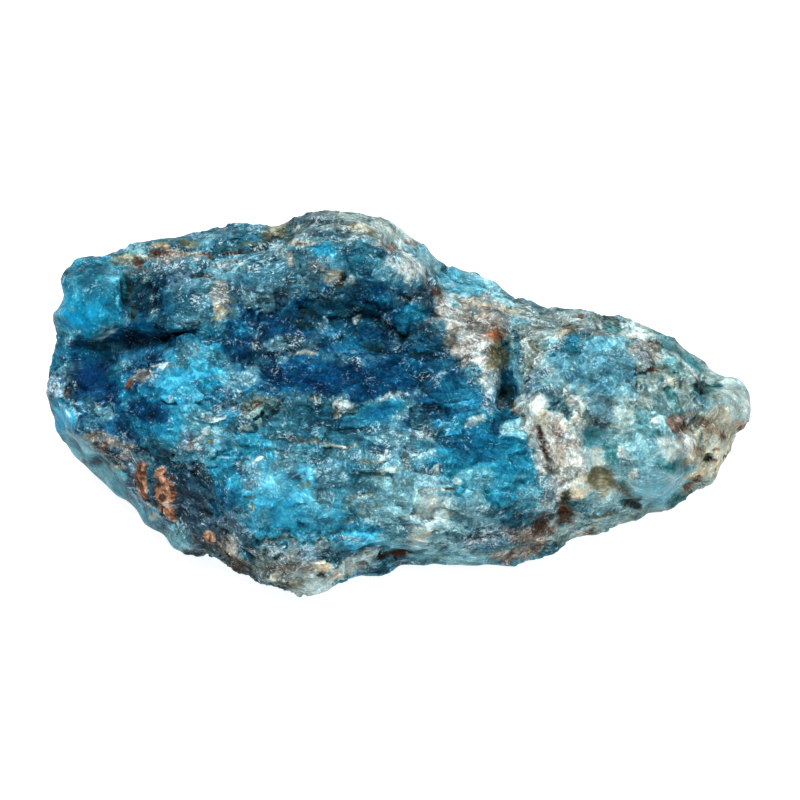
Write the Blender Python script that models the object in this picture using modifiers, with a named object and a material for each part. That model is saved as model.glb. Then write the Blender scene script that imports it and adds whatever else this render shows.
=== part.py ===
"""Rough blue apatite: one broken lump, about 60 mm long, that rests on a small flat.

The lump is laid out on its broad face, in millimetres: u runs along its length, v runs up the
face and w stands out of it. The face leans back by FACE_LEAN from the upright, and the cut on
the underside, where the lump rests, is the plane z = 0.
"""
from math import cos, radians, sin

import bmesh
import bpy
from mathutils import Vector
from mathutils.geometry import delaunay_2d_cdt

MM = 0.001

# Driving dimensions
FACE_LEAN = radians(40.0)
REST_HEIGHT = 13.0
FACE_SETBACK = -2.9
SHOULDER_INSET = 1.0
SHOULDER_RISE = 2.0
SHOULDER_CLEARANCE = 0.7
REST_OVERLAP = 0.5
RIM_ALLOWANCE = 0.3

# Surface of the solid
CAGE_VOXEL = 0.42 * MM
SKIN_VOXEL = 0.48 * MM
LUMP_SIZE = 5.0 * MM
LUMP_DEPTH = 0.65 * MM
LUMP_LEVEL = 0.32
STEP_SIZE = 3.4 * MM
STEP_DEPTH = 0.4 * MM
STEP_LEVEL = 0.5
CHIP_SIZE = 2.8 * MM
CHIP_DEPTH = 0.7 * MM
CHIP_LEVEL = 0.25
KEPT_SHARE = 0.168

CUTTER_SIZE = 120.0 * MM

# The rim: where the face turns over to the back, clockwise from the left tip
RIM = (
    (-30.2, 1.6, -5.0), (-29.5, 3.4, -5.0), (-28.9, 5.2, -4.0), (-28.9, 7.0, -3.2),
    (-28.2, 8.4, -3.6), (-28.4, 10.3, -3.8), (-27.4, 11.6, -4.4), (-25.7, 12.0, -5.0),
    (-23.6, 12.1, -6.0), (-22.6, 12.9, -7.0), (-20.8, 13.4, -7.6), (-18.4, 13.75, -7.6),
    (-16.6, 14.0, -7.4), (-14.2, 14.75, -7.2), (-12.0, 14.75, -7.2), (-10.6, 14.5, -7.0),
    (-9.2, 15.3, -6.0), (-7.4, 15.7, -5.6), (-5.8, 16.15, -5.4), (-4.2, 16.05, -5.4),
    (-2.4, 15.4, -5.8), (-1.0, 14.95, -6.2), (0.2, 13.8, -7.0), (1.8, 13.2, -7.6),
    (3.3, 11.7, -8.4), (4.8, 11.15, -10.0), (6.4, 10.8, -10.4), (8.2, 9.8, -10.2),
    (10.0, 8.6, -9.8), (12.0, 7.85, -8.6), (13.2, 7.45, -7.4), (14.9, 8.05, -7.0),
    (16.3, 7.45, -7.2), (18.5, 7.05, -7.4), (20.2, 6.5, -7.6), (22.0, 5.85, -8.0),
    (23.8, 5.2, -8.4), (25.3, 3.7, -8.8), (26.2, 2.35, -9.0), (27.6, 2.2, -8.4),
    (29.0, 1.5, -7.8), (29.8, 0.4, -7.4), (29.9, -1.0, -7.2), (29.4, -2.4, -7.6),
    (28.3, -3.0, -8.2), (28.5, -4.3, -8.2), (27.3, -5.7, -8.2), (26.5, -7.1, -8.0),
    (24.8, -7.9, -7.6), (23.5, -8.9, -7.0), (22.0, -9.4, -6.6), (20.6, -9.6, -6.6),
    (19.0, -10.6, -6.0), (17.2, -10.9, -5.4), (15.5, -11.8, -4.6), (13.5, -12.4, -4.0),
    (11.2, -13.3, -3.4), (9.2, -13.85, -3.0), (6.0, -13.9, -2.8), (3.0, -13.45, -3.0),
    (0.4, -13.75, -2.8), (-1.7, -14.85, -2.2), (-3.8, -14.95, -2.0), (-5.8, -15.6, -1.6),
    (-7.2, -16.0, -1.0), (-9.4, -16.0, -1.0), (-11.4, -15.7, -1.4), (-12.4, -14.9, -2.2),
    (-14.4, -14.1, -3.0), (-16.4, -13.1, -3.8), (-18.2, -13.0, -4.2), (-19.8, -11.7, -5.2),
    (-21.6, -10.4, -6.0), (-22.6, -9.2, -6.6), (-24.2, -7.8, -7.4), (-26.0, -6.2, -7.8),
    (-27.8, -4.4, -7.6), (-29.2, -3.2, -7.0), (-29.5, -1.6, -6.2), (-29.9, 0.0, -5.4),
)

# The face: ridges, ledges, steps and cracks, each a line of points that the surface breaks on
FACE_LINES = (
    # proud block at the upper left end
    ((-27.6, 10.4, -1.6), (-27.2, 8.8, -0.6), (-27.9, 7.0, -0.6), (-27.6, 5.9, -0.6)),
    ((-26.0, 11.0, -1.4), (-25.6, 9.5, 0.4), (-26.0, 7.3, 0.9), (-26.4, 6.0, 0.5)),
    ((-24.0, 11.0, -1.4), (-23.5, 10.0, 0.2), (-23.5, 8.6, 0.6), (-24.0, 7.2, 0.9)),
    # notch between the block and the wall beside it
    ((-23.1, 10.9, -2.4), (-23.0, 9.6, -2.4), (-22.8, 8.4, -1.9), (-22.5, 7.2, -0.8)),
    ((-22.0, 10.9, -1.8), (-21.6, 9.0, -1.2), (-21.2, 7.4, -0.3)),
    # lip of the ledge, and the recess under it
    ((-27.9, 5.2, -0.9), (-26.2, 5.3, 0.3), (-24.4, 5.7, 0.5), (-22.8, 6.2, 0.4),
     (-20.6, 6.1, 0.5), (-18.8, 6.4, 0.9), (-17.0, 6.6, 1.1)),
    ((-27.9, 4.7, -1.9), (-26.2, 4.8, -1.6), (-24.4, 5.1, -1.9), (-22.6, 5.6, -2.6),
     (-20.6, 5.6, -3.0), (-18.8, 5.9, -2.2), (-17.2, 6.1, -0.8)),
    ((-28.3, 3.4, -2.6), (-26.0, 3.4, -2.0), (-23.6, 3.9, -2.2), (-21.4, 4.2, -2.4),
     (-19.6, 4.7, -1.4), (-17.8, 5.2, -0.4)),
    # left tip: small rounded lumps
    ((-28.9, 2.2, -2.9), (-28.5, 1.1, -2.2), (-28.0, 0.2, -2.6), (-28.3, -0.9, -2.1),
     (-28.0, -2.2, -2.3)),
    ((-27.2, 1.9, -1.6), (-27.0, 0.3, -1.8), (-27.2, -1.2, -1.4), (-26.9, -2.8, -1.6)),
    ((-26.0, 2.2, -1.9), (-24.8, 1.2, -1.4), (-24.4, -0.2, -0.4), (-22.6, -0.9, 0.9)),
    # bright ridge
    ((-22.6, 2.2, -0.6), (-20.6, 3.1, 0.4), (-18.6, 3.6, 1.2), (-16.6, 3.9, 1.3),
     (-15.0, 4.8, 0.8)),
    ((-21.4, 0.8, 1.4), (-19.2, 0.8, 2.8), (-17.0, 0.4, 3.6), (-15.2, -0.4, 3.8)),
    ((-26.4, -2.4, -0.7), (-24.4, -2.7, 0.5), (-22.2, -2.9, 1.5), (-20.0, -3.1, 2.5),
     (-18.0, -3.3, 3.3), (-16.2, -3.3, 4.0), (-15.2, -4.8, 4.4), (-14.4, -6.6, 4.5),
     (-13.8, -8.6, 4.1), (-13.2, -10.6, 3.2), (-12.4, -12.4, 1.9)),
    # lower left face, falling away under the ridge
    ((-26.6, -4.0, -3.0), (-24.0, -4.8, -1.6), (-21.0, -5.6, 0.0), (-18.4, -6.6, 1.2),
     (-16.0, -7.8, 1.6), (-14.8, -10.2, 1.2), (-13.8, -12.6, 0.4)),
    ((-25.2, -5.6, -4.6), (-22.6, -7.4, -3.2), (-19.8, -9.4, -2.2), (-17.2, -10.8, -1.6),
     (-14.8, -12.4, -1.2)),
    # wall above the ledge
    ((-20.4, 11.4, -2.3), (-18.4, 11.2, -1.5), (-16.0, 11.4, -1.2), (-13.4, 11.6, -0.8),
     (-11.2, 11.6, -0.4)),
    ((-19.8, 9.0, -0.6), (-18.0, 8.4, 0.4), (-15.8, 8.2, 1.0), (-13.6, 8.4, 0.6)),
    # groove under the humps on the upper edge
    ((-22.6, 11.9, -3.8), (-20.6, 12.3, -4.1), (-18.4, 12.5, -3.9), (-16.4, 12.3, -3.7),
     (-15.0, 12.5, -3.8), (-13.2, 12.9, -3.7), (-11.6, 13.3, -3.4), (-9.8, 13.4, -2.8)),
    ((-21.8, 12.6, -3.6), (-20.2, 12.9, -3.3), (-18.4, 13.1, -3.3), (-16.8, 13.2, -3.1)),
    ((-15.8, 13.4, -2.8), (-14.2, 13.8, -2.4), (-12.6, 13.8, -2.4), (-11.2, 13.8, -2.7)),
    # crest: a lump that leans back at the top and overhangs the hollow
    ((-8.6, 14.4, -2.2), (-6.8, 14.9, -1.8), (-5.0, 15.1, -1.6), (-3.2, 14.7, -1.8),
     (-1.4, 13.9, -2.4)),
    ((-9.0, 12.9, -0.6), (-7.2, 13.1, 0.5), (-5.2, 13.2, 1.1), (-3.2, 13.0, 1.3),
     (-1.4, 12.5, 0.9), (0.4, 12.0, -0.4), (1.9, 11.6, -2.2)),
    ((-9.4, 11.4, 0.5), (-7.6, 11.6, 1.4), (-5.6, 11.6, 2.0), (-3.8, 11.1, 2.2),
     (-1.8, 10.9, 2.0), (0.2, 10.8, 1.2), (1.8, 10.2, 0.0)),
    # hollow: two floors with a step between them
    ((-12.0, 9.8, 0.6), (-9.8, 9.6, 0.8), (-7.6, 9.3, 0.7), (-5.2, 9.1, 0.7),
     (-2.8, 9.2, 0.9), (-0.6, 9.0, 0.8), (1.6, 8.4, 0.0)),
    ((-11.4, 7.8, -0.2), (-9.2, 7.5, -1.0), (-7.2, 7.5, -1.2), (-4.8, 7.3, -1.2),
     (-2.4, 7.3, -0.8), (-0.2, 7.1, -0.6), (2.0, 6.6, -1.1)),
    ((-12.6, 5.1, 0.7), (-10.6, 5.3, 1.2), (-8.4, 5.1, 1.2), (-6.4, 4.9, 0.7),
     (-4.6, 5.2, 0.0)),
    ((-3.0, 5.0, -1.1), (-1.2, 4.8, -1.6), (0.8, 4.3, -1.9), (2.6, 4.0, -1.7),
     (4.2, 3.6, -1.1)),
    ((-4.4, 3.6, 0.6), (-2.4, 3.4, 0.6), (0.0, 3.1, 0.4), (2.4, 2.8, 0.3), (4.6, 2.4, 0.5)),
    # smooth blue band, and the bright lip below it
    ((-13.6, 2.9, 1.0), (-10.8, 2.2, 0.9), (-7.6, 2.0, 1.0), (-4.6, 1.8, 1.2),
     (-1.6, 1.7, 1.3), (1.4, 1.3, 1.3), (4.2, 0.8, 1.5), (6.6, 0.6, 1.6)),
    ((-13.4, 0.4, 2.9), (-11.2, 0.2, 2.8), (-8.8, 0.3, 2.9), (-6.8, 0.1, 3.1),
     (-4.8, -0.1, 3.4), (-3.0, 0.0, 3.2), (-1.2, 0.4, 2.9), (0.4, 0.7, 2.6)),
    ((-12.2, -1.6, 2.4), (-9.6, -1.6, 2.4), (-7.0, -1.6, 2.6), (-4.2, -1.4, 2.9),
     (-1.6, -1.2, 3.0), (0.8, -0.8, 2.9)),
    ((-12.8, -3.4, 3.8), (-10.2, -3.6, 3.9), (-7.4, -3.6, 4.1), (-4.8, -3.5, 4.3),
     (-2.6, -3.3, 4.3), (-0.4, -2.7, 3.8), (1.8, -2.3, 3.6), (3.8, -2.2, 3.5)),
    # broad lower front
    ((-12.6, -6.0, 4.9), (-10.0, -6.4, 5.3), (-7.4, -6.2, 5.2), (-4.8, -6.0, 5.4),
     (-2.0, -6.0, 5.5), (1.0, -5.6, 5.3), (4.0, -5.2, 5.0), (7.0, -5.0, 4.7),
     (9.6, -5.2, 4.5)),
    ((-11.8, -9.0, 4.9), (-9.2, -9.3, 5.1), (-6.4, -9.2, 4.8), (-4.2, -9.8, 4.0),
     (-2.2, -8.8, 5.0), (1.2, -8.7, 5.6), (4.0, -8.6, 5.4), (7.0, -8.1, 4.8),
     (10.0, -7.8, 4.2)),
    ((-11.0, -11.6, 3.6), (-8.8, -12.0, 3.1), (-6.2, -12.0, 3.0), (-3.6, -12.0, 2.7),
     (-0.8, -11.6, 3.2), (2.0, -11.1, 3.6), (4.6, -10.4, 3.8), (7.4, -9.9, 3.2),
     (10.0, -9.5, 2.8), (11.8, -9.0, 2.5)),
    # bottom lobe, and the rusty undercut that runs on from it
    ((-11.2, -13.6, 1.6), (-9.2, -14.2, 1.8), (-7.2, -14.4, 1.7), (-5.6, -14.0, 1.0)),
    ((-3.8, -13.6, -0.4), (-1.8, -13.2, -0.6), (0.0, -12.7, -0.5), (1.8, -12.6, -0.2),
     (3.6, -12.6, -0.1)),
    ((5.2, -12.3, 0.9), (7.4, -12.2, 0.9), (9.6, -12.0, 0.6), (11.4, -11.4, 0.2)),
    # pale seam left of the slit
    ((3.4, 8.6, -2.6), (4.6, 7.2, -1.7), (5.8, 5.9, -1.0), (6.7, 4.4, -0.3),
     (7.1, 2.8, 0.3), (7.4, 1.2, 0.9), (7.5, -0.6, 1.8)),
    # slit with a deep square pit
    ((8.0, 5.0, -0.9), (8.1, 3.2, -0.5), (8.1, 1.4, 0.2), (8.2, -0.2, 0.9)),
    ((8.9, 5.2, -2.6), (8.9, 3.8, -3.2), (8.9, 2.2, -4.4), (8.9, 0.8, -4.4),
     (9.0, -0.3, -3.4)),
    ((9.7, 5.2, -0.9), (9.8, 3.6, -0.6), (9.8, 2.0, -0.2), (9.9, 0.6, 0.3),
     (10.0, -0.4, 0.8)),
    ((9.0, -1.2, 0.6), (10.1, -1.3, 0.9)),
    # blue facets below the slit, with a raised pale corner
    ((5.2, -2.1, 3.2), (6.3, -1.6, 3.0), (7.3, -1.2, 2.6)),
    ((8.0, -2.4, 2.3), (9.2, -2.0, 2.4), (10.6, -2.1, 2.6)),
    ((8.6, -3.2, 3.3), (10.0, -3.3, 3.5), (11.2, -3.2, 3.4)),
    # crack beside the pale vein
    ((11.8, -2.7, 2.2), (12.1, -4.2, 1.5), (12.8, -5.4, 2.0)),
    ((11.2, -4.6, 3.7), (12.0, -6.4, 3.5), (12.6, -8.0, 3.2)),
    # far ridge behind the seam
    ((4.8, 9.8, -6.4), (6.6, 9.3, -6.2), (8.4, 8.5, -5.9), (10.4, 7.8, -5.6)),
    ((5.2, 8.3, -3.6), (7.0, 7.9, -3.4), (9.0, 7.3, -3.2), (11.0, 7.1, -3.6),
     (12.8, 6.8, -4.0)),
    # right lobe: brow
    ((9.8, 6.1, -1.9), (11.4, 5.8, -1.1), (13.2, 5.7, -0.7), (15.0, 5.6, -0.5),
     (17.0, 5.5, -0.6), (18.8, 5.1, -0.8), (20.4, 4.5, -1.2), (22.0, 3.5, -1.9)),
    ((14.6, 7.0, -3.4), (17.4, 6.4, -2.9), (20.0, 5.7, -3.2), (22.2, 4.8, -3.9)),
    # right lobe: front bulge
    ((11.0, 3.4, 0.7), (13.0, 3.5, 1.5), (15.2, 3.4, 1.9), (17.4, 3.2, 1.9),
     (19.2, 2.7, 1.2), (21.0, 2.7, -0.6)),
    ((11.0, 0.9, 1.3), (12.8, 1.0, 2.2), (14.8, 0.9, 2.5), (16.8, 0.8, 2.5),
     (18.8, 0.6, 2.1), (20.6, 0.8, 1.3)),
    ((11.4, -1.2, 2.7), (13.4, -1.3, 2.8), (15.2, -1.4, 2.5), (17.4, -1.2, 2.3),
     (19.0, -0.9, 2.5)),
    ((15.8, -2.2, 1.3), (17.2, -2.0, 1.1), (17.0, -3.2, 1.2), (15.9, -3.5, 1.4)),
    # pale vein below the bulge
    ((13.2, -2.9, 3.3), (14.6, -3.2, 3.7), (14.7, -5.0, 3.9), (14.8, -6.4, 3.5)),
    ((12.9, -7.0, 3.6), (13.0, -8.2, 3.0)),
    # dark rusty pit under the vein
    ((14.2, -7.8, 1.6), (13.9, -8.8, -0.4), (13.5, -9.6, -1.3), (12.4, -10.2, -0.4)),
    ((14.9, -8.4, 1.8), (15.2, -9.2, 0.8), (14.8, -10.2, -0.6)),
    # edge between the glassy pebble and its neighbour
    ((16.2, -5.8, 2.6), (17.2, -5.2, 2.2), (18.2, -6.6, 1.0), (19.2, -7.9, -0.2),
     (19.9, -8.7, -1.8)),
    ((16.2, -7.2, 2.2), (17.4, -7.9, 1.6), (18.2, -8.6, 0.4)),
    ((15.9, -9.7, -1.0), (17.4, -9.4, -1.4), (18.6, -9.3, -1.8)),
    # glassy pebble
    ((18.8, -2.6, 3.0), (20.4, -2.4, 3.4), (22.0, -2.4, 2.6)),
    ((18.4, -4.4, 3.0), (20.0, -4.3, 4.0), (21.8, -4.2, 4.0), (23.2, -4.3, 3.0)),
    ((19.2, -6.0, 3.0), (20.8, -6.2, 3.9), (22.4, -6.2, 3.4), (23.4, -6.4, 2.0)),
    ((20.4, -7.8, 1.9), (21.8, -8.0, 1.6)),
    # streaked facets that run down to the nose
    ((20.8, -0.9, 2.4), (21.7, 0.2, 1.2), (21.6, 1.4, 0.6)),
    ((22.3, 1.2, -0.2), (22.7, 0.1, -0.3), (23.4, -0.9, -0.5)),
    ((22.8, 2.4, -0.9), (23.8, 1.2, -0.5), (24.5, -0.2, -0.8)),
    ((23.0, 3.9, -3.6), (24.0, 3.0, -3.4), (25.0, 2.1, -4.0)),
    ((24.9, 1.2, -3.4), (26.1, 1.0, -4.6), (27.2, 0.9, -4.4)),
    # nose
    ((25.2, 0.2, -1.9), (26.6, 0.0, -3.1), (27.8, 0.2, -3.7), (28.6, 0.1, -4.4)),
    ((26.8, -0.9, -2.7), (28.0, -1.1, -3.5), (28.7, -1.3, -4.3)),
    # groove across the nose, and the crumbly matrix below it
    ((23.0, -1.8, 0.4), (24.2, -1.7, -1.6), (25.6, -1.8, -3.2), (27.0, -2.1, -4.4)),
    ((24.4, -3.0, -0.4), (25.6, -2.9, -1.4), (27.0, -3.2, -3.2)),
    ((24.6, -4.5, 0.2), (25.4, -4.8, -1.2), (26.1, -4.9, -3.2), (26.9, -4.6, -3.0)),
    ((24.2, -6.0, 0.0), (25.2, -6.2, -1.8)),
)

# The back: the same kind of lines, seen from the same side, so w falls away from the reader
BACK_LINES = (
    # left end, a slanting break that rises to the tip
    ((-27.6, 3.0, -8.4), (-26.6, 0.0, -10.2), (-25.0, -3.0, -11.4)),
    ((-26.4, 9.0, -8.4), (-24.4, 6.4, -11.0), (-22.4, 3.2, -13.6), (-21.0, 0.0, -14.8)),
    # lower edge of the back wall, with a ledge above it
    ((-19.0, 2.4, -16.8), (-13.0, 3.2, -18.4), (-7.0, 4.0, -18.8), (-1.0, 3.8, -19.2),
     (5.0, 3.0, -18.4), (10.4, 1.8, -17.2)),
    ((-18.0, 5.4, -15.8), (-12.0, 6.4, -17.0), (-6.0, 6.6, -18.0), (0.0, 6.4, -17.4),
     (6.0, 5.2, -16.8)),
    ((-17.4, 7.2, -15.6), (-12.4, 7.9, -16.8), (-6.6, 8.4, -17.4), (-0.6, 7.8, -17.0),
     (5.4, 6.8, -15.8)),
    # shallow scoop in the upper back wall
    ((-20.0, 10.6, -11.6), (-15.0, 11.0, -12.8), (-10.0, 11.6, -12.6), (-5.4, 12.4, -13.4),
     (-1.0, 11.4, -13.4), (3.4, 9.0, -13.6)),
    ((-12.0, 13.0, -9.8), (-8.0, 13.6, -9.4), (-4.4, 14.4, -9.6), (-1.0, 13.2, -10.0)),
    # right back: two facets that meet on a slanting ridge
    ((7.6, 8.0, -12.8), (10.0, 5.0, -14.6), (13.4, 1.6, -15.2), (15.6, -1.4, -14.0)),
    ((12.6, 5.6, -10.8), (16.4, 4.0, -12.0), (20.4, 1.4, -12.4), (23.6, -1.6, -10.8)),
    ((19.4, 4.6, -10.2), (23.0, 2.4, -10.8), (26.4, -0.6, -10.2), (26.0, -3.4, -9.8)),
    ((14.8, -5.8, -10.6), (18.0, -4.4, -11.0), (21.0, -5.2, -10.0), (23.6, -5.8, -9.2)),
)

# The flat on the underside, as the corners of its outline on the face's own u and v
REST_CORNERS = (
    (-13.4, -11.4), (-15.6, -7.2), (-12.6, -3.0), (-6.4, -1.4), (1.2, -0.8), (7.6, -2.2),
    (11.2, -5.4), (9.4, -9.0), (4.4, -10.8), (-1.0, -11.2), (-7.0, -12.4),
)

STONE_COLOUR = (0.055, 0.245, 0.345, 1.0)


def remove_objects():
    """Clear the scene for the part."""
    for item in list(bpy.data.objects):
        bpy.data.objects.remove(item, do_unlink=True)


def new_collection(name):
    """A collection under the scene's own."""
    collection = bpy.data.collections.new(name)
    bpy.context.scene.collection.children.link(collection)
    return collection


def resting_w(v, height):
    """The w at which a point with this v stands at a height above the flat."""
    return (height - REST_HEIGHT - v * sin(FACE_LEAN)) / cos(FACE_LEAN)


def inset_rim(distance):
    """The rim's points, each moved towards the middle of the face by a distance."""
    points = []
    for index, (u, v, w) in enumerate(RIM):
        before = Vector(RIM[index - 1][:2])
        after = Vector(RIM[(index + 1) % len(RIM)][:2])
        along = (after - before).normalized()
        points.append((u + along.y * distance, v - along.x * distance, w))
    return points


def shoulder(side):
    """Points just inside the rim: side +1 is the face, -1 the back."""
    points = []
    for u, v, w in inset_rim(SHOULDER_INSET):
        depth = w + side * SHOULDER_RISE
        if side < 0:
            depth = max(depth, resting_w(v, SHOULDER_CLEARANCE))
        points.append((u, v, depth))
    return points


def resting_flat():
    """The corners of the flat, a little below it, so that the cut there is clean."""
    return [(u, v, resting_w(v, -REST_OVERLAP)) for u, v in REST_CORNERS]


def relief(lines, loose_points):
    """Points and triangles over the rim's outline, which break along the lines."""
    points = inset_rim(-RIM_ALLOWANCE)
    edges = [(index, (index + 1) % len(RIM)) for index in range(len(RIM))]
    for line in lines:
        first = len(points)
        points.extend(line)
        edges.extend((first + step, first + step + 1) for step in range(len(line) - 1))
    points.extend(loose_points)
    flat = [Vector(point[:2]) for point in points]
    found, _, triangles, sources, _, _ = delaunay_2d_cdt(flat, edges, [], 1, 1e-5)
    heights = [points[source[0]][2] if source else None for source in sources]
    if None in heights:
        raise ValueError(f"lines cross at {found[heights.index(None)]}")
    return [(co.x, co.y, height) for co, height in zip(found, heights)], triangles


def cage_mesh():
    """Face and back joined along the rim, in the stone's u, v, w."""
    shell = bmesh.new()
    sides = ((FACE_LINES, shoulder(1), False), (BACK_LINES, shoulder(-1) + resting_flat(), True))
    for lines, loose_points, turned in sides:
        points, triangles = relief(lines, loose_points)
        verts = [shell.verts.new(Vector(point) * MM) for point in points]
        for triangle in triangles:
            corners = [verts[index] for index in triangle]
            shell.faces.new(reversed(corners) if turned else corners)
    bmesh.ops.remove_doubles(shell, verts=shell.verts, dist=0.01 * MM)
    mesh = bpy.data.meshes.new("apatite")
    shell.to_mesh(mesh)
    shell.free()
    return mesh


def add_voxels(stone, name, voxel):
    """Remesh the surface at an even size."""
    remesh = stone.modifiers.new(name, "REMESH")
    remesh.mode = "VOXEL"
    remesh.voxel_size = voxel
    remesh.use_smooth_shade = False


def add_relief(stone, name, kind, size, depth, level, **settings):
    """Push the surface in and out by one of Blender's textures, from its middle level."""
    texture = bpy.data.textures.new(name, kind)
    texture.noise_scale = size
    for setting, value in settings.items():
        setattr(texture, setting, value)
    displace = stone.modifiers.new(name, "DISPLACE")
    displace.texture = texture
    displace.strength = depth
    displace.mid_level = level


def floor_cutter(collection):
    """The block below the resting plane, which cuts the flat."""
    bpy.ops.mesh.primitive_cube_add(size=CUTTER_SIZE, location=(0.0, 0.0, -0.5 * CUTTER_SIZE))
    cutter = bpy.context.object
    cutter.name = "resting_plane_cutter"
    for holder in list(cutter.users_collection):
        holder.objects.unlink(cutter)
    collection.objects.link(cutter)
    cutter.hide_render = True
    cutter.display_type = "WIRE"
    return cutter


def stone_material():
    """Blue apatite, a little glossy."""
    material = bpy.data.materials.new("blue_apatite")
    material.use_nodes = True
    surface = material.node_tree.nodes["Principled BSDF"]
    surface.inputs["Base Color"].default_value = STONE_COLOUR
    surface.inputs["Roughness"].default_value = 0.42
    surface.inputs["Metallic"].default_value = 0.0
    return material


def build_stone(collection, cutter):
    """The stone: cage, even surface, lumps and chips, facets, and the cut on the underside."""
    stone = bpy.data.objects.new("apatite", cage_mesh())
    collection.objects.link(stone)
    stone.location = (0.0, FACE_SETBACK * MM, REST_HEIGHT * MM)
    stone.rotation_euler = (FACE_LEAN, 0.0, 0.0)
    stone.data.materials.append(stone_material())
    add_voxels(stone, "even_cage", CAGE_VOXEL)
    add_relief(stone, "lumps", "CLOUDS", LUMP_SIZE, LUMP_DEPTH, LUMP_LEVEL, noise_type="HARD_NOISE")
    add_relief(stone, "steps", "CLOUDS", STEP_SIZE, STEP_DEPTH, STEP_LEVEL, noise_basis="CELL_NOISE")
    add_relief(stone, "chips", "VORONOI", CHIP_SIZE, CHIP_DEPTH, CHIP_LEVEL,
               distance_metric="DISTANCE_SQUARED")
    add_voxels(stone, "even_skin", SKIN_VOXEL)
    facets = stone.modifiers.new("facets", "DECIMATE")
    facets.ratio = KEPT_SHARE
    cut = stone.modifiers.new("resting_flat", "BOOLEAN")
    cut.operation = "DIFFERENCE"
    cut.solver = "EXACT"
    cut.object = cutter
    return stone


def main():
    """Build the part."""
    remove_objects()
    cutter = floor_cutter(new_collection("cutters"))
    build_stone(new_collection("apatite"), cutter)


main()
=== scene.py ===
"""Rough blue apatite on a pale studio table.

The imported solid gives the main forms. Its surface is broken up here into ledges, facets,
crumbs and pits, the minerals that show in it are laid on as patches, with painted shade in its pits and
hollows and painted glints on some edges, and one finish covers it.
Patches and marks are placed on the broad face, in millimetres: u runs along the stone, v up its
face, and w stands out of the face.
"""
import logging
from dataclasses import astuple, dataclass, field
from enum import Enum, IntEnum
from functools import reduce
from math import cos, radians, sin
from typing import Sequence

import bpy
import numpy as np
from mathutils import Matrix, Vector


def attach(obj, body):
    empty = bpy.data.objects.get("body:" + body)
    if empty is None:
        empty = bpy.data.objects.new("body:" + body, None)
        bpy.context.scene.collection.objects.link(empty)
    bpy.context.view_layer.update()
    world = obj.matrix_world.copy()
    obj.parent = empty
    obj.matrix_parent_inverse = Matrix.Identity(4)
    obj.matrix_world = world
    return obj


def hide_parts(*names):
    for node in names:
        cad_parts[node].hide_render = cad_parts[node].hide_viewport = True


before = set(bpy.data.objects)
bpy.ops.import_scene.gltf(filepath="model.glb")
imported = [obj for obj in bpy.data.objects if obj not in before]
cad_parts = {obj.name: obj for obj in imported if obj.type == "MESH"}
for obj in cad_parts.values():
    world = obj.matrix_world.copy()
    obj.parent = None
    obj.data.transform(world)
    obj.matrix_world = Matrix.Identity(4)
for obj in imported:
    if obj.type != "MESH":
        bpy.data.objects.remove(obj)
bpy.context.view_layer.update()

MM = 0.001
LIGHT_LEVEL = 1.12  # how bright a white place on the lit face would be
MIDDLE = 0.5  # what noises and cells are on average

Pair = tuple[float, float]
Triple = tuple[float, float, float]
Four = tuple[float, float, float, float]

log = logging.getLogger("apatite")


@dataclass(frozen=True)
class Finish:
    """How one mineral or stain looks: its colour on the screen, and its surface."""

    red: float
    green: float
    blue: float
    frost: float = 0.5
    gloss: float = 0.5
    glow: float = 0.3
    facets: float = 0.5
    grain: float = 0.5
    crumbs: float = 0.2


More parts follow.
